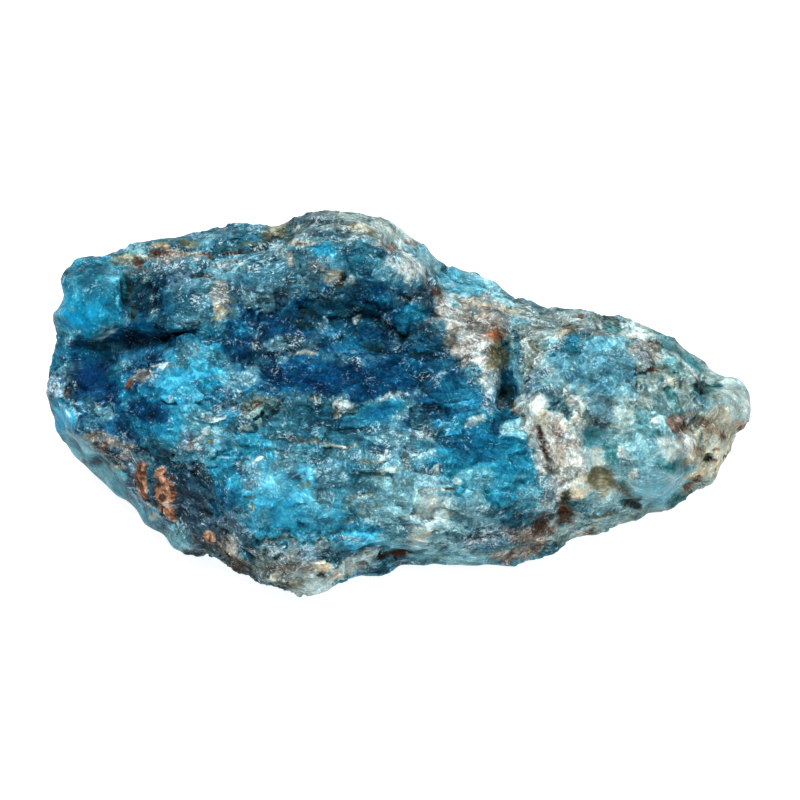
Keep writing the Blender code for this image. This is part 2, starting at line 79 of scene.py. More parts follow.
class Mineral(Enum):
    """The minerals, clear depths and stains of the stone, with the painted shade and painted glints laid
    on it.
    """

    # near-black laid in pits, cracks, gaps and the hollow: painted shade
    PITCH = Finish(13, 35, 38, 0.25, 0.4, 0.0, 0.6, 0.4, 0.4)
    NAVY = Finish(7, 57, 81, 0.4, 0.6, 0.3, 0.7, 0.8, 0.1)
    COBALT = Finish(0, 44, 84, 0.1, 0.7, 0.5, 0.4, 0.6, 0.0)
    DEEP_BLUE = Finish(1, 54, 88, 0.4, 0.7, 0.5, 0.5, 0.9, 0.0)
    OCEAN = Finish(23, 116, 146, 0.45, 0.7, 0.6, 0.6, 0.9, 0.0)
    SKY = Finish(43, 145, 180, 0.28, 0.7, 0.8, 0.6, 0.7, 0.0)
    AZURE = Finish(3, 115, 154, 0.15, 0.7, 0.8, 0.5, 0.7, 0.0)
    ICE = Finish(115, 166, 177, 0.6, 0.6, 0.7, 0.6, 0.6, 0.1)
    SLATE = Finish(48, 76, 93, 0.55, 0.5, 0.2, 0.7, 0.6, 0.3)
    DARK_TEAL = Finish(33, 88, 107, 0.5, 0.5, 0.3, 0.6, 0.8, 0.2)
    TEAL = Finish(58, 109, 126, 0.55, 0.6, 0.5, 0.6, 0.7, 0.1)
    LAGOON = Finish(106, 155, 166, 0.45, 0.5, 0.5, 0.5, 0.3, 0.4)
    SEA_GREEN = Finish(123, 149, 148, 0.55, 0.5, 0.4, 0.5, 0.2, 0.5)
    GREY_BLUE = Finish(55, 88, 102, 0.7, 0.4, 0.3, 0.6, 0.4, 0.4)
    CREST_GREY = Finish(105, 121, 120, 0.7, 0.3, 0.2, 0.5, 0.2, 0.7)
    FROST = Finish(75, 116, 130, 1.0, 0.5, 0.4, 0.7, 0.5, 0.3)
    # pale chalky matrix, and also the thin crisp white strokes laid as painted glints on edges and
    # facets
    CHALK = Finish(180, 190, 188, 0.8, 0.3, 0.3, 0.4, 0.1, 0.8)
    LAVENDER = Finish(86, 120, 140, 0.95, 0.5, 0.3, 0.7, 0.5, 0.3)
    GLASS = Finish(88, 150, 167, 0.3, 0.8, 0.6, 0.2, 0.1, 0.0)
    SEA_TEAL = Finish(64, 129, 138, 0.5, 0.6, 0.5, 0.6, 0.4, 0.2)
    DEEP_SEA = Finish(40, 98, 101, 0.45, 0.5, 0.3, 0.6, 0.4, 0.2)
    MINT = Finish(177, 200, 199, 0.4, 0.5, 0.4, 0.6, 0.1, 0.3)
    CRUST = Finish(174, 132, 106, 0.5, 0.1, 0.0, 0.3, 0.0, 1.0)
    ROSE = Finish(128, 121, 112, 0.7, 0.2, 0.2, 0.4, 0.1, 0.9)
    SAND = Finish(177, 164, 135, 0.55, 0.2, 0.1, 0.4, 0.1, 0.9)
    CREAM = Finish(200, 202, 183, 0.4, 0.2, 0.2, 0.4, 0.1, 0.9)
    OLIVE = Finish(92, 89, 67, 0.4, 0.3, 0.1, 0.4, 0.1, 0.8)
    MUD = Finish(128, 116, 107, 0.65, 0.2, 0.1, 0.4, 0.2, 0.9)
    RUST = Finish(108, 66, 44, 0.35, 0.1, 0.0, 0.3, 0.0, 1.0)
    BROWN = Finish(62, 42, 32, 0.4, 0.1, 0.0, 0.3, 0.0, 1.0)


class Border(Enum):
    """How a patch ends: how far it is torn, and how softly it fades, as shares of its size."""

    TORN = (0.85, 0.5)
    SOFT = (0.45, 1.0)
    CRISP = (0.35, 0.18)


@dataclass(frozen=True)
class Patch:
    """A rounded area of one mineral, of painted shade or of a painted glint, on the broad face, or on
    the back.
    """

    left: float
    right: float
    low: float
    high: float
    mineral: Mineral
    strength: float = 0.85
    turn: float = 0.0
    border: Border = Border.TORN


@dataclass(frozen=True)
class Mark:
    """A spot on the broad face, in millimetres: its middle, half sizes, height and turn."""

    u: float
    v: float
    half_u: float
    half_v: float
    height: float
    turn: float = 0.0


def patches(*rows: tuple) -> tuple[Patch, ...]:
    """Make a patch of each row: left, right, low, high, mineral, strength, turn and border."""
    return tuple(Patch(*row) for row in rows)


def marks(*rows: tuple) -> tuple[Mark, ...]:
    """Make a mark of each row: u, v, half sizes, height and turn."""
    return tuple(Mark(*row) for row in rows)


M, B = Mineral, Border

FACE_PATCHES = patches(
    # ground colours, broad
    (-31, 9, -17, 17, M.TEAL, 1), (8, 32, -14, 10, M.SEA_GREEN, 1), (-30, -20, -12, 6, M.SLATE, 0.9),
    (-24, -13, -14, -3, M.SLATE, 1, -35), (-15, 6, -1, 10, M.DEEP_BLUE, 0.9),
    (-14, -2, -5, 0, M.DARK_TEAL, 0.8), (2, 12, -10, 0, M.OCEAN, 0.9), (-7, 3, -13, -5, M.TEAL, 0.9),
    # proud block at the upper left end
    (-29.4, -22.9, 4.9, 12.4, M.OCEAN, 0.95, 0, B.CRISP),
    (-28.8, -23.6, 8.8, 12.4, M.DARK_TEAL, 0.75, 0, B.SOFT),
    (-25, -23.3, 8.4, 11.8, M.LAGOON, 0.4, 0, B.SOFT), (-29.4, -25.4, 4.9, 8.8, M.AZURE, 1, 0, B.SOFT),
    (-27.2, -26, 9.4, 11, M.NAVY, 0.5), (-28.5, -27.9, 9.6, 11.2, M.GREY_BLUE, 0.7),
    (-27.9, -27.4, 7, 7.7, M.FROST, 0.7, 60), (-25.9, -23.6, 5.6, 6.4, M.GREY_BLUE, 0.7, 18),
    (-25.6, -23.8, 5.25, 5.65, M.CHALK, 0.7, 22, B.CRISP), (-28, -27, 5.4, 5.8, M.FROST, 0.6),
    # dark wall beside it, with painted shade in the gap next to the block
    (-23.4, -18.8, 6.2, 11.4, M.DARK_TEAL, 1, 0, B.CRISP), (-23.4, -18.2, 6.2, 10.8, M.NAVY, 1),
    (-23.4, -22.6, 8.3, 10.3, M.PITCH, 0.85, 0, B.CRISP),
    (-22.6, -19.8, 6.8, 10.4, M.PITCH, 0.3, 0, B.SOFT), (-22.8, -22.2, 6.4, 8, M.BROWN, 0.5),
    (-22.2, -21, 9.8, 10.8, M.MUD, 0.4), (-21.1, -20.85, 6.9, 10, M.GREY_BLUE, 0.75, 0, B.CRISP),
    (-20.2, -19.7, 6.9, 9.8, M.NAVY, 0.9, 0, B.CRISP), (-21, -20.4, 6.5, 7.4, M.FROST, 0.5),
    (-19.7, -15.6, 6.8, 10.1, M.TEAL, 0.9), (-19.2, -17.4, 7, 10.4, M.DARK_TEAL, 0.6),
    (-17.4, -15.4, 7.2, 9, M.FROST, 0.45), (-20.8, -17, 9.2, 11.9, M.SLATE),
    (-18.9, -17.2, 6.1, 6.5, M.CHALK, 0.6, 22, B.CRISP), (-16, -13.9, 6.4, 11, M.ROSE, 0.7),
    (-15.8, -14.8, 7, 8.4, M.SAND, 0.6), (-23.6, -17, 10.5, 11.7, M.GREY_BLUE, 0.7),
    (-23.4, -21.2, 10.6, 11.5, M.MUD, 0.4), (-17.2, -9.2, 10.9, 12.2, M.FROST, 0.6),
    (-15.4, -13.6, 11, 12, M.CHALK, 0.5), (-14, -9.2, 7.2, 11, M.SLATE),
    (-13.2, -9.8, 9.4, 11.4, M.DARK_TEAL, 0.5), (-13.2, -9.8, 6.8, 9.6, M.LAGOON, 0.65),
    (-12.9, -10.8, 7.3, 8.4, M.FROST, 0.75), (-17.6, -15.6, 10.3, 10.6, M.BROWN, 0.5),
    # upper edge over the wall
    (-24.4, -22.4, 11.2, 12.4, M.OLIVE, 0.6), (-23.6, -21.4, 12, 12.6, M.SAND, 0.7),
    (-23.4, -21.4, 12.4, 13.4, M.LAGOON, 0.95), (-21.7, -19, 12.9, 13.6, M.SAND, 0.9),
    (-21.6, -16.8, 11.7, 12.95, M.MUD, 0.75), (-20.2, -17.4, 12.2, 12.8, M.ROSE, 0.6),
    (-22.7, -21.6, 11.35, 12.2, M.BROWN, 0.95, 8, B.CRISP),
    (-21.4, -18.9, 12.45, 12.7, M.BROWN, 0.8, 4, B.CRISP),
    (-20.6, -18.6, 11.7, 11.9, M.BROWN, 0.6, 6, B.CRISP), (-18.9, -16.6, 12.9, 13.9, M.OLIVE, 0.75),
    (-18.2, -15.6, 12.6, 13, M.DARK_TEAL, 0.8), (-17.2, -10.6, 12.9, 15.4, M.TEAL, 1),
    (-16.4, -12, 13, 14.2, M.DARK_TEAL, 0.4), (-14.2, -12, 13.4, 14.4, M.OCEAN, 0.5),
    (-13.8, -10.4, 13, 13.4, M.OLIVE, 0.7, 3), (-16.9, -15.9, 12.05, 12.4, M.RUST, 0.9, 0, B.CRISP),
    (-15.4, -13.2, 12.35, 12.75, M.BROWN, 0.95, 3, B.CRISP),
    (-14.8, -13.8, 12.4, 12.65, M.RUST, 0.9, 3, B.CRISP),
    # band under the block, painted deep blue and navy: partly the clear blue mineral and partly painted
    # shade under the overhang; and the clear left end
    (-25, -18.6, 4.2, 6.4, M.DEEP_BLUE, 1, -2), (-24, -19, 4.2, 6, M.NAVY, 0.8, 0, B.SOFT),
    (-29.6, -21.6, 3, 5.1, M.NAVY, 0.95, 4), (-29.2, -23.8, 3.1, 5, M.DEEP_BLUE, 0.9, 3, B.SOFT),
    (-28.6, -23.6, 3.4, 4.6, M.OCEAN, 0.5, 3, B.SOFT), (-30.4, -27.8, 2.2, 4.8, M.OCEAN),
    (-29.8, -26, 2.2, 3, M.GREY_BLUE, 0.5, 6), (-27.6, -20.4, -3.4, 3.2, M.DEEP_BLUE),
    (-27.8, -24, 0.4, 3.4, M.COBALT, 0.9, 6, B.SOFT), (-24.8, -22.6, 1.4, 3.2, M.OCEAN, 0.5),
    (-30.8, -27.6, 0.2, 2.5, M.LAVENDER), (-28.5, -27.95, 0.2, 1.1, M.BROWN, 0.85, 0, B.CRISP),
    (-29.9, -27.3, 0, 0.3, M.FROST, 0.8, -3, B.CRISP), (-29.9, -27.2, -3, 0, M.SKY, 0.85, 0, B.CRISP),
    (-29.4, -27.6, -1.1, -0.3, M.NAVY, 0.7), (-28.9, -27.9, -1, -0.4, M.FROST, 0.6),
    # the crisp chalk stroke here is a painted glint
    (-28.3, -27.8, -1.35, -0.95, M.CHALK, 0.9, -35, B.CRISP),
    (-27.6, -27.15, -2.6, -0.2, M.FROST, 0.75, 10, B.CRISP), (-27, -24.6, -3, 0.4, M.TEAL, 0.6),
    (-25.8, -24.2, -1.7, -0.3, M.LAGOON, 0.65), (-25.6, -25.1, -0.5, -0.2, M.CREAM, 0.8),
    (-24.4, -22.6, -3.4, -1, M.NAVY, 0.5), (-23.2, -19.6, -1.6, 1, M.OCEAN, 0.8),
    (-21.8, -19.8, -1.6, 0.2, M.COBALT, 0.85, 0, B.SOFT), (-22.9, -21.8, -1, 0.2, M.FROST, 0.5, -50),
    (-21.9, -21.1, -3.15, -2.85, M.CHALK, 0.85, 8, B.CRISP),
    (-25.2, -24.7, -3.4, -3, M.CHALK, 0.9, 0, B.CRISP),
    # bright ridge
    (-21.2, -13.6, -2.4, 4, M.SKY, 0.9, -12), (-22.6, -18.4, -3, 0.1, M.OCEAN, 0.8),
    (-22.6, -19.6, -2, 0.3, M.DEEP_BLUE, 0.9), (-19.6, -15, -0.6, 1.4, M.FROST, 0.35),
    (-20, -17, -0.8, 2.8, M.SKY, 0.5), (-23, -19.6, 2.2, 4.8, M.DEEP_BLUE, 0.8, -10),
    (-22.5, -20.6, 1.4, 2.4, M.ROSE, 0.75, 15), (-20.9, -18.8, 2.5, 3.4, M.FROST, 0.75),
    (-23, -22.45, 0.9, 1.75, M.RUST, 0.9, 0, B.CRISP), (-19.4, -18.9, -0.4, 0.3, M.CHALK, 0.7),
    (-18, -14.8, -3.2, -0.2, M.ICE, 0.6), (-17.6, -14.6, -1.9, -0.8, M.FROST, 0.4),
    (-16.4, -14.4, -1.75, -1.25, M.CHALK, 0.75, 5), (-16.9, -16, -3.1, -2.2, M.CHALK, 0.8),
    (-18.4, -16.8, -3.9, -3.1, M.ROSE, 0.75), (-17.4, -16.9, -3.9, -3.4, M.CHALK, 0.8),
    (-16.4, -15.6, -3.8, -3.2, M.OLIVE), (-20.4, -17, 4.4, 6.4, M.NAVY),
    (-17.2, -11.6, 3, 6, M.TEAL, 0.7), (-17.4, -14.6, 4.2, 6.4, M.OCEAN, 0.7),
    (-17.6, -14.8, 2.2, 4.6, M.OCEAN, 0.5), (-16.8, -15, 0.6, 1.8, M.OCEAN, 0.8),
    (-15.6, -12.8, 0.8, 2.4, M.TEAL, 0.8), (-15.4, -13, -1.2, 0.8, M.LAVENDER, 0.75),
    (-14.4, -13.4, 1.4, 2.4, M.FROST, 0.6),
    # lower left face
    (-26.9, -22.4, -4.9, -3.1, M.MUD, 0.6, -8), (-26.6, -25.4, -4, -3.2, M.SAND, 0.55),
    (-24.6, -23.5, -4.9, -4.2, M.NAVY, 0.8), (-25.2, -24.6, -4.8, -4.1, M.BROWN, 0.7),
    (-25.05, -24.8, -4.55, -4.25, M.SAND, 0.6), (-24.7, -24.1, -3.7, -3.4, M.SAND),
    (-23.1, -22.6, -4, -3.7, M.SAND, 0.8), (-23.5, -23, -4.6, -4.3, M.SAND, 0.7),
    (-22.2, -15.4, -10.6, -4.8, M.SLATE, 0.9, -15), (-22.2, -17, -5.6, -3.2, M.DARK_TEAL, 0.85, -12),
    (-20.4, -19, -3.8, -3.2, M.OCEAN, 0.5), (-20, -18.8, -4.8, -4, M.GREY_BLUE, 0.7, 0, B.SOFT),
    (-18.4, -15.6, -8.8, -5.6, M.NAVY, 0.4, 0, B.SOFT), (-21.9, -20.4, -7.6, -5.2, M.DARK_TEAL, 0.7),
    (-19.8, -18.2, -6.6, -5.4, M.DARK_TEAL, 0.6),
    # smooth clear rim below it
    (-29.4, -26.6, -4.8, -2.6, M.GLASS, 0.9, -45), (-28, -23.6, -7, -4.9, M.GLASS, 1, -40),
    (-26.4, -24.2, -5.8, -5, M.SLATE, 0.7), (-24.9, -22.9, -6.15, -5.85, M.SAND, 0.85, 0, B.CRISP),
    (-25.4, -22.8, -7.4, -6.1, M.GLASS, 0.95, -20, B.CRISP), (-26.2, -22.4, -9, -7.2, M.GLASS, 1, -35),
    (-23.8, -21.4, -10.4, -7.8, M.LAVENDER, 0.85, -30), (-23.6, -18.4, -13.2, -9.6, M.GLASS, 0.95, -38),
    (-22, -19.6, -11.6, -9.8, M.GREY_BLUE, 0.6, -38, B.SOFT),
    (-19.8, -17.6, -13.2, -10.6, M.LAGOON, 0.7, -30), (-21.4, -20.4, -10, -9.4, M.SAND, 0.75),
    (-21.6, -21.1, -8.9, -8.5, M.CREAM, 0.8), (-18.6, -14.2, -12, -9.8, M.SLATE, 0.6),
    (-18.2, -15.4, -13.3, -11.9, M.MUD, 0.5, -4), (-17.8, -14.8, -12.8, -10.4, M.SLATE, 0.7),
    (-20.2, -17.6, -13.2, -10.8, M.LAGOON, 0.6, -30), (-17.6, -16.4, -12, -11.2, M.MUD, 0.5),
    (-15.4, -13.2, -13, -11.2, M.MUD, 0.75, -20), (-16.6, -13.6, -13.2, -12.6, M.PITCH, 0.5, -22),
    (-15.8, -12.6, -13.9, -12.9, M.ROSE, 0.45, -28), (-14.6, -11.8, -14.9, -13.6, M.BROWN, 0.8, -32),
    (-13.6, -11.8, -13.6, -11.4, M.DARK_TEAL, 0.8),
    # rusty crusts
    (-22.7, -22, -6.7, -4.8, M.LAVENDER, 0.85, 18), (-22.15, -21.1, -8.2, -5.2, M.RUST, 1, 5, B.CRISP),
    (-21.95, -21.45, -6.4, -5.6, M.BROWN, 0.9, 0, B.CRISP),
    (-21.9, -21.5, -7.5, -6.7, M.BROWN, 0.95, 0, B.CRISP),
    (-21.4, -21.1, -7.9, -6.6, M.CRUST, 0.9, 0, B.CRISP),
    (-20.25, -19.45, -7.2, -5.8, M.CRUST, 1, 5, B.CRISP),
    (-20.25, -18.65, -9.1, -6.9, M.CRUST, 1, 0, B.CRISP),
    (-19.9, -18.7, -10.15, -8.8, M.CRUST, 1, 0, B.CRISP),
    (-20, -19.3, -8.85, -8.15, M.BROWN, 0.9, 0, B.CRISP),
    (-19.15, -18.7, -8.55, -8.05, M.RUST, 1, 0, B.CRISP),
    (-20.25, -19.9, -9.5, -8.9, M.RUST, 0.9, 0, B.CRISP),
    (-19.7, -19.4, -6.7, -6.1, M.BROWN, 0.9, 0, B.CRISP),
    (-19.1, -18.7, -8, -7.3, M.BROWN, 0.85, 0, B.CRISP),
    (-19.6, -19.2, -8.1, -7.7, M.RUST, 0.9, 0, B.CRISP),
    (-21.65, -21.35, -6.3, -5.5, M.CRUST, 0.8, 0, B.CRISP),
    (-22.05, -21.75, -7.9, -7.4, M.CRUST, 0.8, 0, B.CRISP),
    (-19.25, -18.8, -9.95, -9.45, M.BROWN, 0.9, 0, B.CRISP),
    (-20.1, -19.4, -7.6, -7, M.BROWN, 0.95, 0, B.CRISP), (-19.3, -18.9, -6.9, -6.4, M.RUST, 0.8),
    (-19.75, -19.2, -9.7, -9.1, M.RUST, 0.9, 0, B.CRISP),
    (-19.3, -18.9, -7.5, -7.2, M.RUST, 0.9, 0, B.CRISP),
    (-16.55, -15.35, -12.1, -10.8, M.CRUST, 1, 30, B.CRISP),
    (-16.25, -15.75, -11.95, -11.4, M.BROWN, 1, 0, B.CRISP),
    (-15.95, -15.5, -11.35, -10.95, M.RUST, 1, 0, B.CRISP),
    # crest
    (-10.8, 0.6, 13, 16.6, M.CREST_GREY, 0.95), (-11.2, -9.2, 13.4, 14.9, M.OLIVE, 0.7),
    (-10.6, -10, 13.8, 14.6, M.CREAM, 0.5), (-11.8, -8.8, 13.3, 13.6, M.PITCH, 0.6, 4, B.CRISP),
    (-9.4, -6.4, 14.8, 16, M.SLATE, 0.6, 12), (-9, -5.4, 13.6, 15, M.GREY_BLUE, 0.6),
    (-6.9, -4.6, 14.8, 15.8, M.GREY_BLUE, 0.4), (-8.6, -4.2, 13.8, 14.8, M.SLATE, 0.3),
    (-5.8, -1.4, 15, 16.4, M.SEA_GREEN, 0.7, -12), (-3.2, -0.8, 14.2, 15.4, M.MINT, 0.5, -20),
    (-7.4, -5, 13.2, 14.4, M.TEAL, 0.5), (-5.7, -3.6, 13.3, 13.9, M.FROST, 0.7),
    (-4.6, -2.8, 14, 15, M.SAND, 0.6), (-2.9, -2.2, 13.5, 14.3, M.OLIVE),
    (-1.6, 1.8, 12.6, 15, M.MINT, 0.85, -30), (-2.4, 0.6, 12.2, 13.4, M.ROSE, 0.7),
    (-1.2, -0.4, 12.4, 13, M.RUST, 0.8), (-1, 2.6, 9.7, 12.4, M.CHALK, 0.8, -30),
    (-1.2, 0.4, 11.2, 12.2, M.FROST, 0.6), (1.5, 3.7, 10.9, 12.9, M.LAGOON, 0.95, -30, B.CRISP),
    (0.6, 1.9, 13.1, 13.6, M.BROWN, 0.5, -30), (-13.2, -9.4, 12, 13.2, M.FROST, 0.7, 4),
    (-10.8, -9.4, 12.2, 13.3, M.CHALK, 0.4), (-9.4, -7.2, 13, 13.7, M.SAND, 0.75),
    (-9, -7.6, 13.15, 13.45, M.BROWN, 0.9, 0, B.CRISP), (-9.7, -8.8, 10.8, 12.8, M.MUD, 0.7),
    (-7.2, -5.2, 11.8, 13.2, M.OCEAN, 0.9), (-6.6, -5.6, 12, 12.8, M.SKY, 0.3),
    (-5, -1.6, 11.2, 13, M.DARK_TEAL, 1), (-4, -2.6, 10.4, 11.8, M.OCEAN, 0.4),
    (-4.6, -1.6, 11.8, 12.8, M.NAVY, 0.2, 0, B.SOFT), (-8.9, -6, 9.8, 12.1, M.GREY_BLUE, 0.7),
    (-7.6, -5.9, 10.6, 11.6, M.MUD, 0.5), (-6.1, -4.1, 9.6, 10.8, M.SAND, 0.7, -15),
    (-6.4, -5.4, 9.6, 10.1, M.MUD, 0.8), (-5.4, -4.5, 9.3, 10, M.BROWN, 0.55),
    (-4.85, -4.3, 9.9, 10.6, M.PITCH, 0.95, 0, B.CRISP), (-4.2, -3.7, 9.9, 10.6, M.CHALK, 0.6),
    (-4, 0.2, 8, 10, M.DEEP_BLUE, 0.4), (-3, -1.2, 7.8, 9.6, M.OCEAN, 0.45),
    (-2, -1, 8.8, 9.6, M.COBALT, 0.6), (0.2, 3.4, 8.2, 9.9, M.SLATE, 0.8),
    (1.2, 3.2, 9.4, 10.2, M.LAVENDER, 0.7),
    # hollow under the crest: its navy and near-black are partly the deep blue mineral and partly painted
    # shade, and its small crisp chalk strokes are painted glints
    (-9.6, 0.4, 5.8, 8.6, M.NAVY, 0.9), (-8.4, -6.8, 7.2, 8.2, M.PITCH, 0.8),
    (-9.2, -7.2, 5.7, 6.9, M.PITCH, 0.7), (-5.6, -2.6, 6.6, 7.9, M.PITCH, 0.35),
    (-3.3, -0.8, 4.3, 5.2, M.PITCH, 0.7, -6), (0.2, 3.3, 3.5, 4.3, M.PITCH, 0.85, -4),
    (-0.8, 5.4, 4.6, 7, M.NAVY, 0.8), (-1, 1.4, 5.2, 5.8, M.PITCH, 0.5),
    (-0.2, 3, 6.8, 8.2, M.OCEAN, 0.75), (1.2, 4.2, 5.2, 7, M.SLATE, 0.7),
    (-6.9, -5.9, 5.9, 7.4, M.FROST, 0.6, -25), (-4, -3, 6.5, 7, M.CHALK, 0.75, 40, B.CRISP),
    (-2, -0.4, 5.6, 7.4, M.FROST, 0.4), (-0.7, 0, 4, 6.2, M.FROST, 0.45),
    (-6.4, -3.6, 4.2, 6, M.OCEAN, 0.35), (-6.2, -4.2, 5.2, 6, M.FROST, 0.4),
    (-14.9, -11.9, 4, 7.6, M.DEEP_BLUE, 1), (-14.5, -12.2, 5.2, 7, M.OCEAN, 0.45, 0, B.SOFT),
    (-12.6, -6.4, 3.9, 5.6, M.GREY_BLUE), (-12.4, -7.2, 4.1, 5.3, M.FROST, 0.7),
    (-10.8, -8.9, 3.1, 4, M.FROST, 0.5), (-9.6, -7.2, 3.6, 4, M.SAND, 0.6),
    (-6.9, -4.4, 2.7, 4, M.TEAL, 0.6), (-5.2, -2.2, 3.1, 4.2, M.FROST, 0.6),
    (-2.2, -0.8, 3.4, 4.1, M.FROST, 0.45), (-12.8, 1, 0.4, 3.2, M.DEEP_BLUE, 0.95, -4),
    (-9, -4, 0.8, 2.4, M.COBALT, 0.45, 0, B.SOFT), (-13.6, -11.4, 1.2, 3, M.ICE, 0.6),
    (-2.6, 4.4, 2.2, 3.5, M.DEEP_BLUE, 0.7), (-2.8, 0.4, 0.6, 2.4, M.DEEP_BLUE, 0.8),
    (0.6, 7.4, -1.6, 2.4, M.DEEP_BLUE, 0.75), (2.4, 6.6, -0.6, 1.6, M.OCEAN, 0.5),
    (-0.4, 3, 2, 3.6, M.NAVY, 0.6), (2.9, 4.3, 2, 2.4, M.CHALK, 0.6, 25, B.CRISP),
    (1.2, 2.8, 0.6, 2.6, M.FROST, 0.3),
    # lip, whose thin chalk and ice strokes are painted glints along its edge, and the dark band below it
    (-13.4, -11.6, -1.4, 0.4, M.SAND, 0.4), (-12.6, -11.8, -0.7, 0, M.CRUST, 0.6),
    (-11.6, -10.4, -1.4, 0.4, M.OLIVE, 0.4, 30), (-12.1, -11.2, -2.4, -1.6, M.OLIVE, 0.5),
    (-10.9, -9.6, 0, 0.8, M.GREY_BLUE, 0.45), (-9.6, -6.6, -0.8, 0.4, M.TEAL, 0.6),
    (-10, -3.4, -3.3, -0.6, M.DARK_TEAL, 0.95), (-5.3, -2.4, -2.8, -0.8, M.NAVY, 0.7),
    (-9.2, -5.6, -2.2, -1, M.NAVY, 0.3), (-7.6, -6.5, -0.6, 0.4, M.CHALK, 0.6, -40),
    (-5.4, -3.4, -0.8, 0.3, M.CHALK, 0.9, 6), (-5.5, -4.7, -1.3, -0.8, M.SAND, 0.7),
    (-3.6, 0.6, -2, 0.1, M.OCEAN, 1, 8, B.SOFT), (-3.4, 0.3, -2, -0.1, M.AZURE, 0.5, 8, B.SOFT),
    (-3.2, 0, -1.8, -0.2, M.DEEP_BLUE, 0.65, 8, B.SOFT), (-3.4, -0.6, 0, 0.25, M.ICE, 0.6, 6, B.CRISP),
    (-1.5, 0.2, 0.15, 0.65, M.CHALK, 0.7, 20, B.CRISP), (-0.9, 1.2, -1.5, -0.8, M.FROST, 0.75, 35),
    (0.6, 3.4, -1.9, -1, M.NAVY, 0.5, -14), (-14.8, -11.6, -3.4, -1.6, M.FROST, 0.5),
    (-13.7, -12.4, -2.9, -2.3, M.CREAM, 0.5), (-10.9, -8.2, -3.9, -3.2, M.ROSE, 0.4),
    (-8.4, -3.4, -3.8, -3.45, M.SAND, 0.8), (-3.4, 3, -3.5, -2.2, M.FROST, 0.4),
    (0.6, 3, -3, -2.3, M.CHALK, 0.45),
    # lower front
    (-16.1, -13.2, -9.4, -3.4, M.OCEAN, 0.85, 18), (-15.8, -13.6, -9.2, -7, M.DEEP_BLUE, 0.6, 20),
    (-14.8, -10.2, -5.4, -3, M.OCEAN), (-13.4, -6.4, -11.4, -5.4, M.SKY, 0.95, -10),
    (-12.6, -8, -9, -5.8, M.ICE, 0.45, 0, B.SOFT), (-13.6, -12.5, -8.2, -5.4, M.FROST, 0.55, 12),
    # the crisp chalk stroke here is a painted glint
    (-12.5, -11.1, -5.5, -5.25, M.CHALK, 0.75, 15, B.CRISP),
    (-13.05, -12.35, -8.35, -7.9, M.CRUST, 0.95, 10, B.CRISP),
    (-12.55, -12.05, -9.5, -8.4, M.SAND, 0.85, -8, B.CRISP), (-9.85, -9.4, -10.6, -10.25, M.CRUST, 0.8),
    (-10.4, -6.8, -5.8, -4.6, M.TEAL, 0.75), (-9.9, -8.6, -5.7, -5.1, M.FROST, 0.6),
    (-9.2, -7.3, -6.9, -5.7, M.SLATE, 0.8), (-8.3, -7.3, -7.4, -6.7, M.OLIVE, 0.6),
    (-7.2, -2.6, -8.6, -3.8, M.TEAL, 0.7), (-6.9, -5.2, -6.8, -5, M.FROST, 0.5),
    (-4.9, -2.7, -7, -5.2, M.DARK_TEAL), (-5, -4.2, -6.9, -6, M.FROST, 0.5),
    (-2.6, 1.2, -5.6, -3.5, M.FROST, 0.75), (-1.8, -0.8, -4.8, -4.2, M.CHALK, 0.6),
    (0.2, 1.6, -5, -3.8, M.ROSE, 0.45), (1.4, 3.2, -4.6, -3.7, M.CHALK, 0.5, 15),
    (-0.4, 2.6, -5.6, -3.2, M.TEAL, 0.6), (-3.6, -1, -5.2, -4.9, M.OLIVE, 0.6),
    (0.1, 0.8, -5.9, -4.9, M.OLIVE, 0.45), (-1.7, 0, -6.1, -5.6, M.CREAM, 0.5),
    (-2.6, 2.8, -8.2, -5.5, M.ICE, 0.8, 0, B.SOFT), (-4.1, -1.6, -8.3, -7.9, M.SAND, 0.55, 8),
    (-3.3, -1.7, -9.5, -8.6, M.OLIVE, 0.55, 12), (-12.4, -5.6, -12.6, -10.3, M.OCEAN, 0.75, -6),
    (-6.9, 0, -12.9, -9.6, M.OCEAN, 0.7, -5), (-12.8, -4.8, -10.9, -7.8, M.SKY),
    (-8.8, -4.8, -10.6, -7.8, M.ICE, 0.35), (-4.8, -0.6, -12.8, -10.6, M.SKY, 0.95),
    (-5.2, -2.2, -9.6, -7.8, M.LAGOON, 0.55), (-5, -3.4, -10.6, -9.4, M.NAVY, 0.3, 35),
    (-4.7, -3.8, -10.3, -9.7, M.LAGOON, 0.95, 35, B.CRISP), (-3.9, -2.9, -9.5, -9.1, M.NAVY, 0.6, -8),
    (-8.8, -7.9, -11, -10.4, M.NAVY, 0.7), (-5, -2.8, -11.9, -11.4, M.FROST, 0.8, -4),
    (-1.8, 1, -12.7, -10.4, M.ICE, 0.6, 25), (-2.8, 1.4, -10.6, -7, M.ICE, 0.7),
    (0.4, 5.2, -8.8, -6, M.ICE, 0.85, 10), (1, 5, -7.75, -7.3, M.CHALK, 0.6, 6, B.CRISP),
    (1, 4.8, -10.4, -7.9, M.MINT, 1, 6), (1.2, 4.4, -10.2, -8.6, M.ICE, 0.25, 6),
    (1.6, 5.2, -10.2, -8, M.MINT, 0.9), (0.6, 3.6, -12.4, -10.1, M.MINT),
    (1, 2.6, -11.8, -10.4, M.CREAM, 0.45), (1.2, 3.4, -10.4, -9.8, M.FROST, 0.7),
    (2.2, 6, -12.8, -10.4, M.ICE, 0.75), (3.6, 4.6, -11.4, -10.6, M.NAVY, 0.7),
    # bottom lobe and the rusty undercut
    (-13, -4.6, -18, -12.4, M.CREST_GREY, 0.95, 6), (-11.8, -9, -13.2, -12.2, M.FROST, 0.7, -20),
    (-11.4, -10.8, -13, -12.6, M.PITCH, 0.7), (-10.5, -9.9, -13.4, -12.9, M.PITCH, 0.7),
